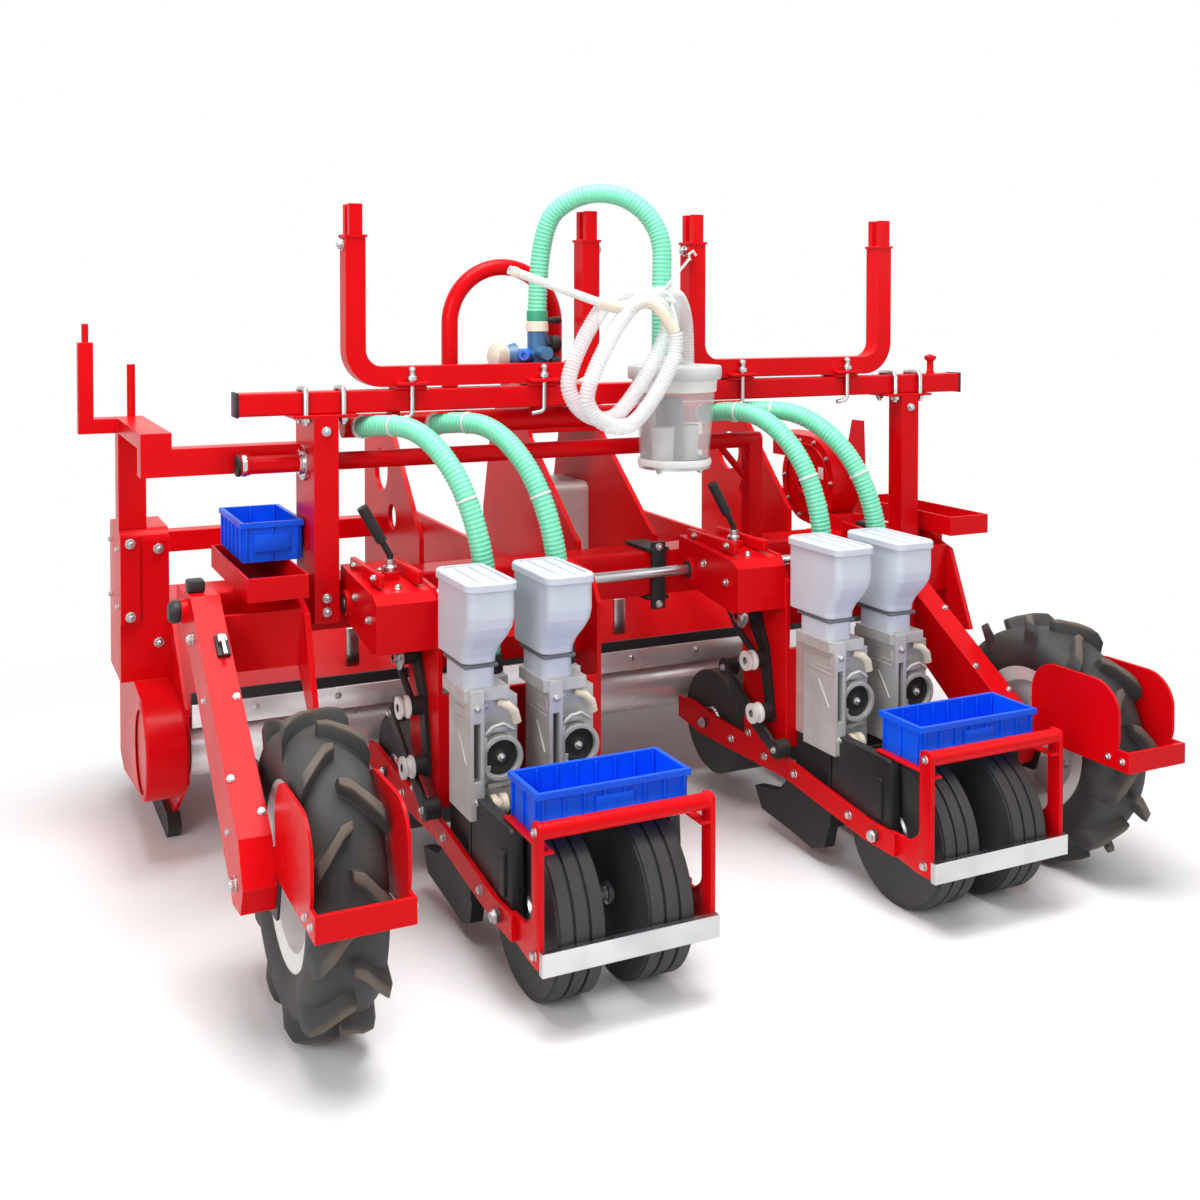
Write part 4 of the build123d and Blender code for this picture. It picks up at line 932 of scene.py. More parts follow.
@dataclass
class Valve:
    """Dome, knobs and collar of the regulating valve."""

    axis: Span = (-250, 600)
    left: float = -340.0
    middle_z: float = 1170.0
    dome: Outline = ((36, 0), (38, 6), (36, 20), (26, 34), (10, 41), (0, 42))
    collar: Outline = ((22, 0), (27, 0), (27, 22), (24.5, 24), (22, 24))
    cuff: Outline = ((21, 0), (25.4, 0), (25.8, 12), (25.2, 24), (22, 25))
    stub: Outline = ((15, 0), (15, 34), (12, 38), (6, 38), (6, 30), (0, 30))
    knobs: Tuple[Point, ...] = ((1200, 24, 22), (1150, 22, 24), (1258, 30, 9))

    def build(self) -> None:
        """Make the valve's small pieces."""
        x, y = self.axis
        turned_piece("valve_dome", Finishes.AMBER, LEFT, 32, (self.dome, (self.left + 4, y, self.middle_z)))
        turned_piece("valve_collar", Finishes.CREAM, UP, 32, (self.collar, (x, y, 1232)),
                     (ring(24, 30, 7), (x, y, 1122)))
        turned_piece("valve_cuff", Finishes.CUFF, UP, 32, (self.cuff, (x, y, 1257)))
        turned_piece("valve_stub", Finishes.BRIGHT_BLUE, Vector((-0.55, -0.83, 0)), 28,
                     (self.stub, (x - 34, y - 14, self.middle_z + 6)))
        turned_piece("valve_knobs", Finishes.BLACK, RIGHT, 24, *(
            ([(7, 0), (7, reach - 10), (width, reach - 8), (width, reach + 10), (width - 5, reach + 16),
              (0, reach + 16)], (x + 16, y - 6, lift)) for lift, reach, width in self.knobs))


@dataclass
class Bucket:
    """Lid rim, base, inner tubes and bolts of the clear bucket."""

    centre: Span = (10, 385)
    base_z: float = 920.0
    floor_z: float = 926.0
    rim: Outline = ((99, 0), (109, 0), (111, 6), (111, 26), (108, 31), (98, 31), (94, 27.5), (70, 27.5),
        (66, 30), (30, 30), (26, 26.5), (0, 26.5))
    band: Outline = ((96.2, 0), (98.6, 1), (100.6, 30), (98, 31))
    foot: Outline = ((80.5, 0), (86, 1), (87.5, 9), (86, 16), (82, 17))
    cup: Outline = ((0, 0), (24, 0), (28, 84), (26, 84), (22, 3), (0, 3))

    def build(self) -> None:
        """Make the bucket's pieces."""
        x, y = self.centre
        turned_piece("bucket_rim", Finishes.SILVER, UP, 48, (self.rim, (x, y, 1122)))
        turned_piece("bucket_band", Finishes.WHITE, UP, 48, (self.band, (x, y, 1092)),
                     (self.foot, (x, y, self.base_z - 2)))
        turned_piece("bucket_tubes", Finishes.GREY, UP, 24,
                     (ring(0, 21, 150), (x + 2, y + 6, self.floor_z)),
                     (ring(0, 11, 150), (x - 30, y + 14, 950)))
        turned_piece("bucket_cups", Finishes.WHITE, UP, 28, (self.cup, (x - 44, y - 22, self.floor_z)),
                     (self.cup, (x + 46, y + 18, self.floor_z)))
        fasten("bucket_bolts", DOWN, 9, [(x - 58, y - 30, 912), (x + 40, y - 50, 912), (x + 64, y + 20, 912)])


@dataclass
class Toolbar:
    """Clamps, U-bolts, caps and pins of the toolbar, its posts, forks and cross tube."""

    rear: float = 510.0
    front: float = 560.0
    bottom: float = 1056.0
    top: float = 1106.0
    clamps: Tuple[float, ...] = (-600, -275, 275, 600)
    posts: Span = (-800, 800)
    legs: Span = (-42, 42)
    cross_tube: Span = (573, 945)
    hook: Tuple[Point, ...] = ((0, 503, 1136), (0, 503, 1052), (-6, 503, 1045), (-32, 503, 1041))
    nut: Outline = ((0, 0), (12, 0), (12, 9), (7, 12), (7, 20), (9, 24), (6, 30), (0, 31))
    arch: Outline = ((502, 1034), (502, 1100), (507, 1111), (535, 1113), (563, 1111), (568, 1100),
        (568, 1034))
    pin: Outline = ((0, 0), (12, 0), (9, 10), (9, 34), (16, 40), (16, 48), (0, 54))
    cap: Outline = ((0, 0), (24, 0), (24, 6), (20, 9), (0, 9))
    flange: Outline = ((20.4, 0), (40, 0), (40, 7), (26, 9), (26, 16), (20.4, 16))

    def build(self) -> None:
        """Make the fasteners and caps."""
        steel = Workpiece("toolbar_hooks")
        red = Workpiece("fork_flanges")
        for x in self.clamps:
            steel.tube([(x + aside, y, z) for aside, y, z in self.hook], 5.5, 12)
            steel.turned(self.nut, (x, 503, 1126), UP, 18)
            red.bar((x - 38, x + 38), (491, 512), (1114, 1123), 2.5)
        for x in (post + leg for post in self.posts for leg in self.legs):
            steel.tube([(x, y, z) for y, z in self.arch], 6, 12)
            for y in (self.arch[0][0], self.arch[-1][0]):
                steel.turned(ring(0, 11, 9), (x, y, 1040), UP, 6)
        steel.turned(ring(0, 24, 10), (-958, *self.cross_tube), LEFT, 28)
        steel.done(Finishes.STEEL)
        red.turned(self.pin, (905, 535, self.top), UP, 24)
        red.done(Finishes.RED)
        caps = Workpiece("toolbar_caps")
        for x in ((-991, -984), (984, 991)):
            caps.bar(x, (self.rear - 2, self.front + 2), (self.bottom - 2, self.top + 2), 2)
        caps.turned(self.cap, (-972, *self.cross_tube), LEFT, 28)
        caps.done(Finishes.BLACK)
        fasten("fork_head_bolts_left", LEFT, 13, [(x, 535, 1430) for x in (-750, 125)])
        fasten("fork_head_bolts_right", RIGHT, 13, [(x, 535, 1430) for x in (-125, 750)])
        fasten("post_bolts", REAR, 10, [(x, 490, z) for x in self.posts for z in (625, 655, 1020)])
        fasten("cross_flange_bolts", LEFT, 9, [(-827.5, 550, 920), (-827.5, 600, 968)])
        turned_piece("cross_flange", Finishes.STEEL, LEFT, 28, (self.flange, (-827.5, *self.cross_tube)))


@dataclass
class PlantingUnits:
    """Small pieces of the two planting units."""

    half: float = 190.0
    column: float = -40.0
    dial: Outline = ((8.4, 0), (35.4, 0), (35.4, 3), (28, 5), (24, 3), (12, 3), (8.4, 6))
    spool: Outline = ((4, 0), (21, 0), (21, 12), (14, 14), (14, 19), (21, 21), (21, 33), (4, 33))
    clip: Tuple[Point, ...] = ((30, 96, 506), (46, 86, 500), (60, 84, 486), (66, 86, 464))
    wire: Tuple[Point, ...] = ((-6, 84, 446), (12, 80, 462), (34, 80, 466), (58, 84, 450))
    cast_lines: Tuple[Tuple[Span, Span], ...] = (((84, 152), (498, 501)), ((84, 152), (476, 479)),
        ((84, 87), (479, 498)), ((84, 176), (466, 468)))
    brackets: Tuple[Box, ...] = (((-9, 1), (82, 100), (350, 444)), ((-4, 10), (86, 100), (372, 384)),
        ((4, 62), (90, 100), (446, 455)), ((4, 60), (90, 100), (336, 346)))
    meter_seats: Tuple[Point, ...] = ((-25, 70, 505), (-25, 70, 320), (2, 100, 500), (64, 100, 300))
    bar_seats: Outline = ((500, 196), (350, 198), (225, 196), (20, 172), (320, 240), (420, 235))
    idler: Outline = ((9, 0), (24, 0), (24, 5), (19, 8), (19, 15), (24, 18), (24, 24), (9, 24))
    sprocket: Outline = ((8, 0), (30, 0), (30, 5), (16, 7), (16, 18), (8, 18))
    crank_nut: Outline = ((6, 0), (15, 0), (15, 10), (10, 14), (10, 26), (6, 26))
    bearing: Outline = ((14, 0), (27, 0), (27, 5), (20, 9), (14, 9))
    beam_clamp: Tuple[Tuple[Span, Span, Span, float], ...] = (
        ((33, 71), (533, 545), (538, 706), 3), ((22, 82), (536, 660), (681, 691), 2),
        ((22, 82), (536, 660), (561, 571), 2))
    # Both ends as (Y, Z), and millimetres out from the unit's side.
    links: Tuple[Tuple[Span, Span, float], ...] = (
        ((486, 386), (262, 246), 27), ((470, 330), (300, 246), 14))
    link_half: float = 14.0
    handle: Outline = ((-235, 125), (-235, 385), (-199, 385), (-199, 208), (-166, 183), (-100, 183),
        (-100, 137), (-196, 125))
    grip: Span = (-217, 368.5)
    cheek: Outline = ((98, 328), (-102, 328), (-108, 250), (-108, 178), (-92, 134), (-46, 132), (-28, 190),
        (98, 196))
    panel: Outline = ((-82, 196), (-82, 282), (-56, 282), (-56, 196))
    # Kind, axle as (Y, Z), radius of the end hub, its face from the unit's middle, half of the sleeve.
    rollers: Tuple[Tuple[str, Span, float, float, float], ...] = (
        ("press", (-70, 160), 46, 139.5, 43), ("front", (630, 200), 40, 167.5, 41))
    nut_out: float = 198.0
    cheek_faces: Point = (154, 179, 184)
    axle_nut: Outline = ((0, 0), (14, 0), (14, 3), (10, 3), (10, 9), (0, 10))

    def build(self) -> None:
        """Dress both units and their four meters."""
        self._meters()
        self._lids()
        self._frames()
        self._links()
        self._handles()
        self._rollers()

    def _meters(self) -> None:
        """Dials, clamps and rollers of the meters, black bars painted as the shade in their slots, and grey
        bands painted as the shadow under the hoppers' bodies.
        """
        dark = Workpiece("meter_dials")
        cream = Workpiece("meter_clamps")
        silver = Workpiece("meter_brackets")
        painted_shadow_band = Workpiece("hopper_painted_shadow_bands")
        for place in ROWS:
            dark.turned(self.dial, (place + 31, 91.5, 398), REAR, 36)
            # Black bar that stands in the column's slot: painted shade in the opening.
            dark.bar((place - 31, place - 19), (122, 128.5), (362, 473), 1)
            cream.tube([(place + x, y, z) for x, y, z in self.clip], 9, 14)
            cream.turned(self.spool, (place + 6, 80, 306), RIGHT, 28)
            cast = (place + self.column - 1.6, place + self.column + 0.4)
            for y, z in self.cast_lines:
                silver.bar(cast, y, z, 0.7)
            silver.tube([(cast[0] + 1, 132, 446), (cast[0] + 1, 92, 390)], 1.7, 8)
            for x, y, z in self.brackets:
                silver.bar((place + x[0], place + x[1]), y, z, 2)
            silver.tube([(place + x, y, z) for x, y, z in self.wire], 4, 10)
            # Painted shadow: a grey band just under each hopper's body stands for the shadow gap between body
            # and neck.
            painted_shadow_band.bar((place - 47.5, place + 24.6), (83.5, 206.5), (581, 589), 1.5)
        dark.done(Finishes.BLACK)
        cream.done(Finishes.CREAM)
        silver.done(Finishes.ALUMINIUM)
        painted_shadow_band.done(Finishes.GREY)
        fasten("meter_bolts", REAR, 7, [(place + x, y, z) for place in ROWS for x, y, z in self.meter_seats])
        fasten("dial_bolts", REAR, 6, [(place + 31, 81, 398) for place in ROWS])

    def _lids(self) -> None:
        """Raised ribs along the hopper lids."""
        for number, place in enumerate(ROWS, start=1):
            ribs = Workpiece("lid_ribs_%d" % number)
            for side in (-17, 17):
                ribs.bar((place + side - 3, place + side + 3), (66, 224), (752, 756), 1.2)
            ribs.done(Finishes.HOPPER, "lid_%d" % number)

    def _frames(self) -> None:
        """Bolts, link plates, idlers and black clamps on the units' frames."""
        plates = Workpiece("unit_link_plates")
        idlers = Workpiece("unit_idlers")
        discs = Workpiece("unit_sprockets")
        clamps = Workpiece("unit_clamps")
        for middle in UNITS:
            side = middle - self.half
            for x in (middle - 300, middle - 216):
                plates.bar((x, x + 14), (320, 540), (704, 732), 3)
            for y, z in ((318, 320), (345, 440)):
                idlers.turned(self.idler, (side - 38, y, z), LEFT, 28)
            discs.turned(self.sprocket, (side - 40, 392, 538), LEFT, 32)
            clamps.turned(self.bearing, (middle - 320, 490, 641), LEFT, 32)
            discs.turned(self.crank_nut, (middle - 250, 400, 722), UP, 20)
        for limits in self.beam_clamp:
            clamps.bar(*limits)
        fasten("beam_clamp_bolts", REAR, 9, [(52, 533, 694), (52, 533, 551)])
        plates.done(Finishes.RED)
        idlers.done(Finishes.WHITE)
        discs.done(Finishes.STEEL)
        clamps.done(Finishes.BLACK)
        left = [(-320, 320, 640), (-320, 420, 668), *((-self.half, y, z) for y, z in self.bar_seats),
                (-180, -215, 148), (-300, 350, 720), (-300, 500, 720)]
        right = [*((self.half, y, z) for y, z in (*self.bar_seats, (320, 640), (480, 660))), (180, -215, 148)]
        top = [(-255, 460, 709), (-255, 330, 698)]
        for name, along, seats in (("left", LEFT, left), ("right", RIGHT, right), ("top", UP, top)):
            fasten("unit_bolts_" + name, along, 9,
                   [(middle + x, y, z) for middle in UNITS for x, y, z in seats])

    def _links(self) -> None:
        """Black tensioner links with their pivots, and the rods to the upper idlers."""
        black = Workpiece("tensioner_links")
        pivots = self.links[0][:2]
        for face in (middle - self.half for middle in UNITS):
            for first, second, out in self.links:
                a, b = Vector(first), Vector(second)
                way = (b - a).normalized() * self.link_half
                side = Vector((-way.y, way.x))
                corners = (a - way + side, b + way + side, b + way - side, a - way - side)
                black.plate([tuple(corner) for corner in corners], (face - out - 8, face - out), 13)
            black.tube([(face - 26, 536, 600), (face - 26, 432, 494), (face - 26, 345, 440)], 8, 14)
            for y, z in pivots:
                black.turned(ring(0, 22, 34), (face, y, z), LEFT, 28)
        black.done(Finishes.BLACK)
        fasten("link_bolts", LEFT, 8,
               [(middle - self.half - 35, y, z) for middle in UNITS for y, z in pivots])

    def _handles(self) -> None:
        """Handle frames with rounded plates, round grips and rails for the bins."""
        frames = Workpiece("handle_frames_round")
        for middle in UNITS:
            for low in (middle - 180, middle + 170):
                frames.plate(self.handle, (low, low + 10), 11, 1.5)
            frames.tube([(middle - 171, *self.grip), (middle + 171, *self.grip)], 15.5, 28)
            for low in (middle - 170, middle + 150):
                frames.bar((low, low + 20), (-232, -45), (330, 336), 1.5)
        made = frames.done(Finishes.RED)
        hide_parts("handle_frames")
        fasten("grip_bolts", LEFT, 8, [(middle - 180, *self.grip) for middle in UNITS])

    def _rollers(self) -> None:
        """Axle nuts and hubs that turn with the rollers, and the cheeks beside the press rollers."""
        for name, middle in zip(("left", "right"), UNITS):
            for kind, axle, radius, face, sleeve in self.rollers:
                hubs = Workpiece("%s_hubs_%s" % (kind, name))
                end = ((12.5, 0), (radius, 0), (radius - 4, 6), (22, 8), (18, 11), (12.5, 11))
                for out, way in ((-1, LEFT), (1, RIGHT)):
                    hubs.turned(self.axle_nut, (middle + out * self.nut_out, *axle), way, 6)
                    hubs.turned(end, (middle + out * face, *axle), way, 28)
                long = 2 * sleeve
                hubs.turned([(12.2, 0), (21, 0), (21, 10), (14, 12), (14, long - 12),
                             (21, long - 10), (21, long), (12.2, long)], (middle - sleeve, *axle), RIGHT, 24)
                hubs.done(Finishes.STEEL, "%s_%s" % (kind, name))
        cheeks = Workpiece("roller_cheeks")
        for middle in UNITS:
            for side in (-1, 1):
                inner, outer, raised = (middle + side * face for face in self.cheek_faces)
                cheeks.plate(self.cheek, sorted((inner, outer)), 9, 1.5)
                cheeks.plate(self.panel, sorted((outer, raised)), 5, 1)
        cheeks.done(Finishes.BLACK)


@dataclass
class LugTyre:
    """Lugged tyre with a round carcass, bent lugs and a chevron that points up at the rear."""

    name: str
    middle: float
    axle_z: float = 280.0
    lugs: int = 11
    carcass: Outline = ((150, 26), (164, 14), (178, 6), (198, 1), (216, 0), (232, 5), (243, 17), (249, 36),
        (251, 70), (249, 104), (243, 123), (232, 135), (216, 140), (198, 139), (178, 134), (164, 126),
        (150, 114), (150, 26))
    # Millimetres across from the middle, lag in degrees, foot and top radius, half of the width.
    stations: Tuple[Tuple[float, float, float, float, float], ...] = (
        (-5, 3, 240, 277, 9), (14, 1, 240, 279, 13), (42, -6, 238, 279, 14), (61, -10.5, 226, 275, 16),
        (69.5, -13, 204, 258, 17))
    foot_share: float = 1.15
    top_share: float = 0.85

    def build(self) -> None:
        """Make the tyre in place of its solid."""
        piece = Workpiece("lug_tyre_" + self.name)
        piece.turned(self.carcass, (self.middle - 70, 0, self.axle_z), RIGHT, 72)
        for number in range(self.lugs):
            turn = 360.0 * number / self.lugs
            self._lug(piece, turn, -1)
            self._lug(piece, turn + 180.0 / self.lugs, 1)
        made = piece.done(Finishes.TYRE, "wheel_" + self.name)
        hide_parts("tyre_" + self.name)

    def _lug(self, piece: Workpiece, turn: float, side: float) -> None:
        """One lug from the middle of the tread over a shoulder.

        Args:
            piece: The tyre.
            turn: Where it starts round the axle, in degrees from the rear.
            side: -1 for the left half of the tread, 1 for the right.
        """
        loops = []
        form = bmesh.new()
        for across, lag, low, high, half in self.stations:
            loop = []
            for radius, share in ((low, -self.foot_share), (high, -self.top_share), (high, self.top_share),
                                  (low, self.foot_share)):
                angle = math.radians(turn + lag) + share * half / radius
                loop.append(form.verts.new(row(self.middle + side * across, -radius * math.cos(angle),
                                               self.axle_z + radius * math.sin(angle))))
            loops.append(loop)
        for first, second in zip(loops, loops[1:]):
            for a, b in ((0, 1), (1, 2), (2, 3), (3, 0)):
                form.faces.new((first[a], first[b], second[b], second[a]))
        form.faces.new(loops[0])
        form.faces.new(loops[-1])
        upper = {vert for loop in loops for vert in loop[1:3]}
        soften(form, [edge for edge in form.edges if upper.issuperset(edge.verts)], 2.5)
        piece.join(form)


@dataclass
class CarryingWheels:
    """Bolts, pins and hubs of the lugged wheels, their arms and guards."""

    wheels: Tuple[Tuple[str, float], ...] = (("left", -950), ("right", 800))
    axle_z: float = 280.0
    arm_aside: float = -114.0
    arm_top: Span = (390, 635)
    arm_run: Span = (-410, -270)
    slope: Span = (0.55, 0.835)
    arm_seats: Outline = ((20, 0.36), (20, 0.9), (-22, 0.74))
    bolt_circle: float = 84.0
    bolt_count: int = 5
    knob: Outline = ((0, 0), (22, 0), (24, 6), (24, 16), (18, 24), (0, 26))
    shield: Outline = ((-76, 300), (-52, 222), (40, 216), (72, 262), (10, 332))

    def build(self) -> None:
        """Dress both wheels."""
        top_y, top_z = self.arm_top
        across, along = self.slope
        knobs = Workpiece("arm_knobs")
        latch = Workpiece("arm_latches")
        for name, x in self.wheels:
            arm = x + self.arm_aside
            LugTyre(name, x).build()
            fasten("arm_bolts_" + name, Vector((0, -across, along)), 7,
                   [(arm + side, top_y + self.arm_run[0] * part, top_z + self.arm_run[1] * part)
                    for side, part in self.arm_seats])
            fasten("arm_side_bolts_" + name, LEFT, 7, [(arm - 30, 300, 520), (arm - 30, 60, 350)])
            fasten("hub_end_" + name, LEFT, 13, [(arm - 30, 0, self.axle_z), (arm - 30, 440, 610)])
            fasten("guard_bolts_" + name, LEFT, 7, [(x - 84, -300, 322), (x - 84, -262, 322)])
            fasten("guard_far_bolts_" + name, RIGHT, 7, [(x + 84, -300, 322), (x + 84, -262, 322)])
            knobs.turned(self.knob, (arm - 44, 515, 652), LEFT, 28)
            knobs.bar((arm - 30, arm + 6), (500, 540), (690, 716), 5)
            knobs.plate(self._on_arm((18, 74), (0, 7)), (arm, arm + 26), 2)
            latch.plate(self._on_arm((26, 46), (7, 19)), (arm + 4, arm + 22), 3)
            latch.plate(self._on_arm((40, 82), (15, 21)), (arm + 9, arm + 17), 2.5)
            knobs.plate(self.shield, (x - 84, x - 79), 8)
            bolts = Workpiece("wheel_bolts_" + name)
            for turn in evenly(self.bolt_count):
                for face, way in ((x - 6, LEFT), (x + 6, RIGHT)):
                    bolts.bolt(circle(face, (0, self.axle_z), self.bolt_circle, [turn])[0], way, 9)
            bolts.done(Finishes.STEEL, "wheel_" + name)
        knobs.done(Finishes.BLACK)
        latch.done(Finishes.STEEL)

    def _on_arm(self, down: Span, off: Span) -> List[Span]:
        """Outline of a small plate on the arm's sloping upper face.

        Args:
            down: Millimetres down the slope where it starts and ends.
            off: Millimetres off the face of its underside and its top.

        Returns:
            Corners as (Y, Z).
        """
        top_y, top_z = self.arm_top
        across, along = self.slope
        corners = ((down[0], off[0]), (down[1], off[0]), (down[1], off[1]), (down[0], off[1]))
        return [(top_y - along * reach - across * out, top_z - across * reach + along * out)
                for reach, out in corners]


@dataclass
class Tiller:
    """Scraper, straps, and bolts of the tiller, the chain case and the headstock."""

    hood: Span = (-1044, 1044)
    straps: Tuple[float, ...] = (-640, 108, 730)
    cover: Outline = ((96, 0), (111, 0), (111, 3), (108, 5), (98, 5), (96, 3))

    def build(self) -> None:
        """Dress the tiller's end."""
        scraper = Workpiece("scraper_strip")
        scraper.bar(self.hood, (772, 780), (318, 372), 2)
        scraper.done(Finishes.BRIGHT)
        seal = Workpiece("apron_strip")
        seal.bar(self.hood, (778, 786), (350, 398), 2)
        seal.done(Finishes.BLACK)
        fasten("scraper_bolts", REAR, 8, [(x, 772, 352) for x in range(-900, 901, 200)])
        fasten("case_bolts", REAR, 12,
               [(-1152, 990, 718), (-1152, 990, 540), (-1085, 1000, 470), (-1085, 1000, 700)])
        fasten("case_side_bolts", LEFT, 8, [(-1175, y, z) for y in (1030, 1190) for z in (560, 700)])
        turned_piece("cover_rim", Finishes.RED, LEFT, 48, (self.cover, (-1145, 850, 255)))
        straps = Workpiece("hood_straps")
        for x in self.straps:
            straps.bar((x - 17, x + 17), (852, 864), (392, 492), 3)
        straps.done(Finishes.STEEL)
        fasten("mast_bolts", LEFT, 12, [(-116, 700, 640), (-116, 820, 700), (-116, 1060, 1030)])


@dataclass
class Hitch:
    """Fasteners of the hitch, the gearbox and the tiller's side plates."""

    plate: float = 1060.0
    pin: Span = (1330, 640)
    pin_ends: Span = (-420, 420)
    axles: Outline = ((1150, 300), (850, 255))
    bearing: Outline = ((27, 0), (56, 0), (56, 4), (38, 6), (34, 10), (27, 10))
    bearing_turns: Tuple[float, ...] = (0.8, 2.4, 3.9, 5.5)
    bearing_circle: float = 47.0
    right_seats: Outline = ((1010, 515), (1100, 528), (1200, 528), (1290, 528), (1345, 420), (1350, 250),
        (1040, 620), (1048, 820))
    left_seats: Outline = ((1290, 528), (1345, 420), (1350, 250))
    input_ring: Outline = ((45.5, 0), (60, 0), (60, 6), (52, 9), (45.5, 9))

    def build(self) -> None:
        """Dress the front of the machine."""
        turned_piece("side_bearings", Finishes.RED, RIGHT, 40,
                     *((self.bearing, (self.plate, *axle)) for axle in self.axles))
        seats = [seat for axle in self.axles
                 for seat in circle(self.plate + 4, axle, self.bearing_circle, self.bearing_turns)]
        seats += [(self.plate, y, z) for y, z in self.right_seats]
        fasten("side_bolts_right", RIGHT, 8, seats)
        fasten("side_bolts_left", LEFT, 8, [(-self.plate, y, z) for y, z in self.left_seats])
        fasten("gearbox_bolts", FRONT, 9, [(x, 1250, z) for x in (-72, 72) for z in (600, 680, 755)]
               + [(x, 1250, z) for x in (-24, 24) for z in (612, 748)])
        turned_piece("input_flange", Finishes.ALUMINIUM, FRONT, 40, (self.input_ring, (0, 1250, 680)))
        pins = Workpiece("linch_pins")
        y, z = self.pin
        turns = [math.tau * number / 20 for number in range(-5, 15)]
        for x in self.pin_ends:
            pins.tube([(x, y, z - 24), (x, y, z + 22)], 4.5, 12)
            pins.tube(circle(x, (y, z + 22), 17, turns), 2.5, 8)
        pins.done(Finishes.STEEL)


@dataclass
class Fan:
    """Rim bolts, eye ring and blank label of the fan."""

    face: float = 640.0
    centre: Span = (735, 805)
    bolt_circle: float = 110.0
    bolt_count: int = 10
    eye: Outline = ((34, 0), (46, 0), (46, 9), (40, 12), (34, 9))
    rim: Outline = ((94, 0), (100, 0), (98, 4), (95, 4))

    def build(self) -> None:
        """Dress the fan's left face."""
        y, z = self.centre
        fasten("fan_bolts", LEFT, 7,
               circle(self.face, self.centre, self.bolt_circle, evenly(self.bolt_count)))
        rings = Workpiece("fan_rings")
        rings.turned(self.eye, (self.face, y, z), LEFT, 40)
        rings.turned(self.rim, (self.face, y, z), LEFT, 48)
        rings.done(Finishes.RED)
        label = Workpiece("fan_label")
        label.bar((self.face - 1.2, self.face), (y - 76, y - 52), (z + 6, z + 40), 0.4)
        label.done(Finishes.WHITE)


@dataclass
class Bins:
    """Ribs and label holders of the blue bins."""

    boxes: Tuple[Box, ...] = (
        ((-966, -838), (570, 812), (731, 819)), ((-589, -281), (-172, -48), (336, 418)),
        ((281, 589), (-172, -48), (336, 418)))
    pitch: float = 44.0
    margin: float = 8.0
    round_off: float = 0.8

    def build(self) -> None:
        """Make the ribs and the holders."""
        ribs = Workpiece("bin_ribs")
        for x, y, z in self.boxes:
            tall = (z[0] + 4, z[1] - 12)
            for place in self._places(x):
                ribs.bar((place - 2, place + 2), (y[0] - 4.5, y[0] + 0.5), tall, self.round_off)
                ribs.bar((place - 2, place + 2), (y[1] - 8, y[1] - 4), (z[0] + 8, z[1] - 4), self.round_off)
            for place in self._places(y):
                for side in (x[0] - 4.5, x[1] - 0.5):
                    ribs.bar((side, side + 5), (place - 2, place + 2), tall, self.round_off)
            middle = (x[0] + x[1]) / 2
            ribs.bar((middle - 40, middle + 40), (y[0] - 5, y[0] + 0.5), (z[0] + 22, z[0] + 60), 1.5)
        ribs.done(Finishes.BLUE)

    def _places(self, span: Span) -> List[float]:
        """Places of the ribs along a side.

        Args:
            span: Limits of the side.

        Returns:
            The places, evenly spread.
        """
        count = int((span[1] - span[0]) / self.pitch)
        run = span[1] - span[0] - 2 * self.margin
        return [span[0] + self.margin + number * run / count for number in range(count + 1)]


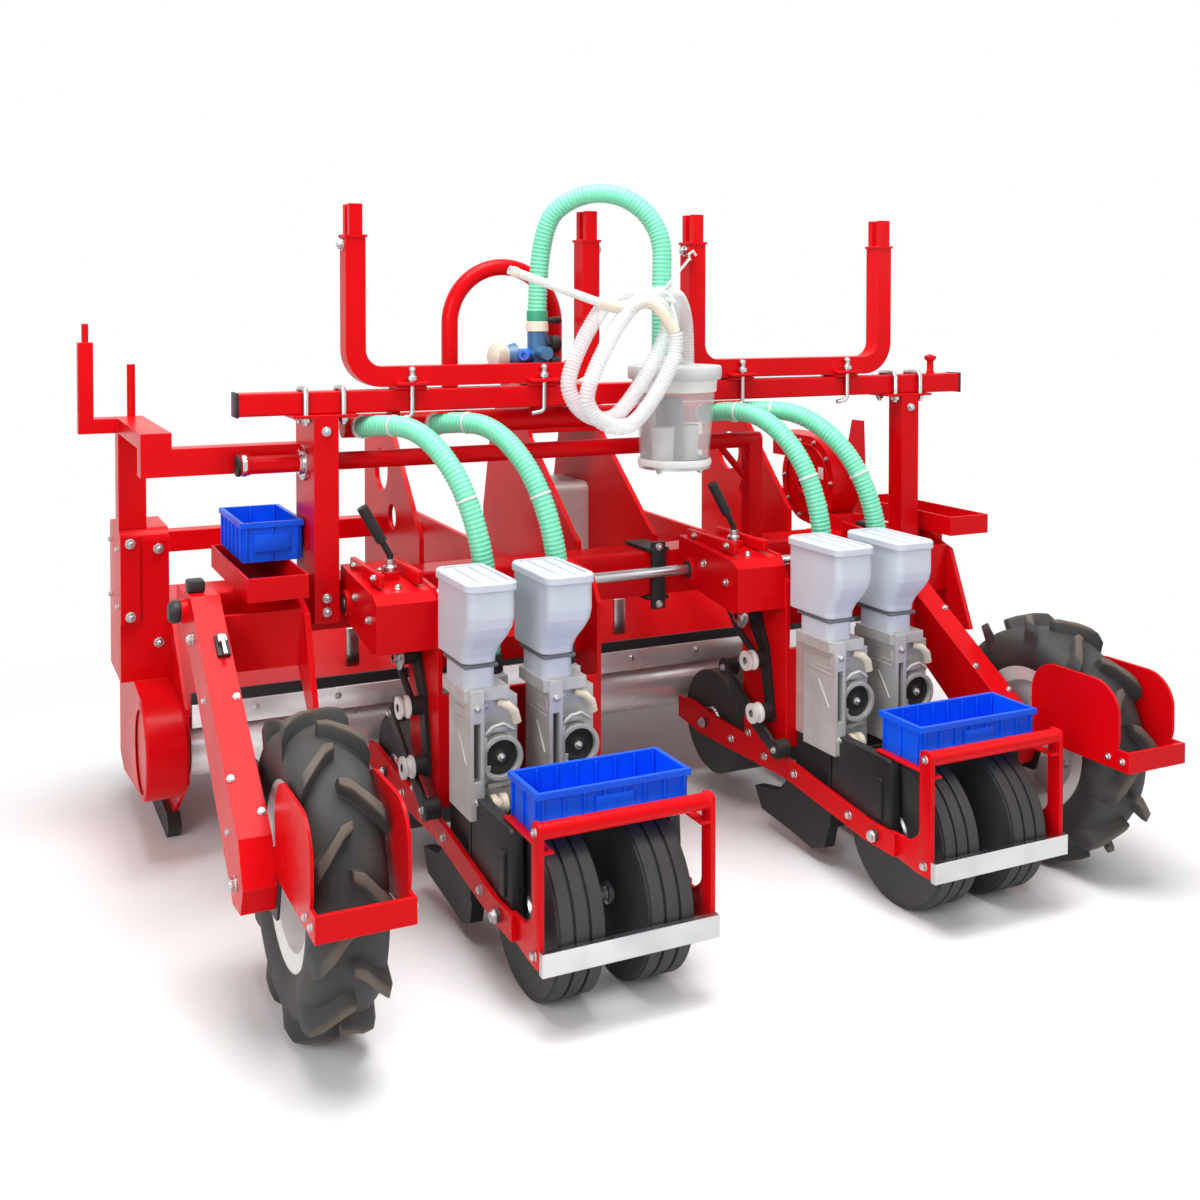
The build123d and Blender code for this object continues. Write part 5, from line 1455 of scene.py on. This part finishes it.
@dataclass
class Studio:
    """Floor, light and camera."""

    eye: Point = (-1.4395, -2.849, 1.30)
    pitch: float = 1.376
    yaw: float = 25.0
    sensor: float = 36.0
    focal_share: float = 1310.0 / 1200.0
    side_share: float = 36.0 / 1200.0
    drop_share: float = -265.5 / 1200.0
    floor_size: float = 30.0
    floor_fade: Span = (1.1, 2.6)
    floor_colour: Tuple[float, float, float, float] = (0.93, 0.93, 0.93, 1)
    world_light: Span = (0.30, 1)
    lamps: Tuple[Tuple[str, Point, Point, float, float], ...] = (("softbox_top", (-0.4, -0.6, 4.2),
        (0.1, 0, 0.4), 2.6, 205), ("softbox_left", (-3.8, -3.2, 2.6), (0, 0, 0.6), 2, 100),
        ("softbox_right", (3.6, -3, 2.8), (0, 0, 0.6), 3, 40))

    def build(self) -> None:
        """Set up the floor, the lamps, the world and the camera."""
        self._floor()
        for lamp in self.lamps:
            self._lamp(*lamp)
        self._world()
        self._camera()

    def _floor(self) -> None:
        """Pale floor that fades to white away from the machine."""
        mesh = bmesh.new()
        bmesh.ops.create_grid(mesh, x_segments=2, y_segments=2, size=self.floor_size)
        data = bpy.data.meshes.new("floor")
        mesh.to_mesh(data)
        mesh.free()
        floor = bpy.data.objects.new("floor", data)
        bpy.context.scene.collection.objects.link(floor)
        made = bpy.data.materials.new("floor_white")
        made.use_nodes = True
        nodes, wires = made.node_tree.nodes, Wiring(made.node_tree)
        shader = nodes["Principled BSDF"]
        wires.feed(shader, {"Base Color": self.floor_colour, "Roughness": 0.8, "Specular IOR Level": 0.1})
        glow = wires.add("Emission", {"Strength": 1.0})["Emission"]
        reach = wires.add("VectorMath", {0: wires.add("TexCoord")["Object"]}, operation="LENGTH")["Value"]
        near, far = self.floor_fade
        fade = wires.add("MapRange", {"Value": reach, "From Min": near, "From Max": far},
                         interpolation_type="SMOOTHSTEP")["Result"]
        both = wires.add("MixShader", {"Fac": fade, 1: shader.outputs["BSDF"], 2: glow})["Shader"]
        wires.feed(nodes["Material Output"], {"Surface": both})
        data.materials.append(made)

    @staticmethod
    def _lamp(name: str, place: Point, aim: Point, size: float, power: float) -> None:
        """Square soft lamp that looks at a point.

        Args:
            name: Name of the lamp.
            place: Where it hangs, in metres.
            aim: Point it looks at.
            size: Side of the square in metres.
            power: Watts.
        """
        light = bpy.data.lights.new(name, "AREA")
        light.size = size
        light.energy = power
        lamp = bpy.data.objects.new(name, light)
        lamp.location = place
        lamp.rotation_euler = (Vector(aim) - Vector(place)).to_track_quat("-Z", "Y").to_euler()
        bpy.context.scene.collection.objects.link(lamp)

    def _world(self) -> None:
        """White surroundings that light at a part of their strength and show as white."""
        world = bpy.data.worlds.new("studio")
        bpy.context.scene.world = world
        world.use_nodes = True
        wires = Wiring(world.node_tree)
        path = wires.add("LightPath")
        seen = path["Is Camera Ray"]
        for ray in ("Is Transmission Ray", "Is Glossy Ray"):
            seen = wires.add("Math", {0: seen, 1: path[ray]}, operation="MAXIMUM")[0]
        wires.feed(world.node_tree.nodes["Background"], {
            "Color": (1, 1, 1, 1), "Strength": wires.spread(seen, *self.world_light, "To")})

    def _camera(self) -> None:
        """Camera at the photograph's place and angle."""
        view = bpy.data.cameras.new("camera")
        view.sensor_width = self.sensor
        view.lens = self.focal_share * self.sensor
        view.shift_x = self.side_share
        view.shift_y = self.drop_share
        camera = bpy.data.objects.new("camera", view)
        camera.location = self.eye
        camera.rotation_euler = (math.radians(90.0 - self.pitch), 0, math.radians(-self.yaw))
        bpy.context.scene.collection.objects.link(camera)
        bpy.context.scene.camera = camera


def dress_nodes() -> None:
    """Give every CAD node the finish of its slot in the record."""
    for part in frame["record"]["subparts"]:
        node = frame["nodes"][part["node"]]
        finish = Finishes.NODES.get(part["node"], Finishes.of(part["material_slot"]))
        made = finish.material()
        if not node.material_slots:
            node.data.materials.append(made)
        for place in node.material_slots:
            place.material = made


def main() -> None:
    """Dress the seeder and set up the studio."""
    logging.basicConfig(level=logging.INFO, format="%(name)s %(message)s")
    bpy.context.scene.view_settings.view_transform = "Standard"
    dress_nodes()
    for assembly in (VacuumLine, ClearHose, Valve, Bucket, Toolbar, PlantingUnits, CarryingWheels, Tiller,
                     Hitch, Fan, Bins, Studio):
        assembly().build()


if __name__ == "__main__":
    main()
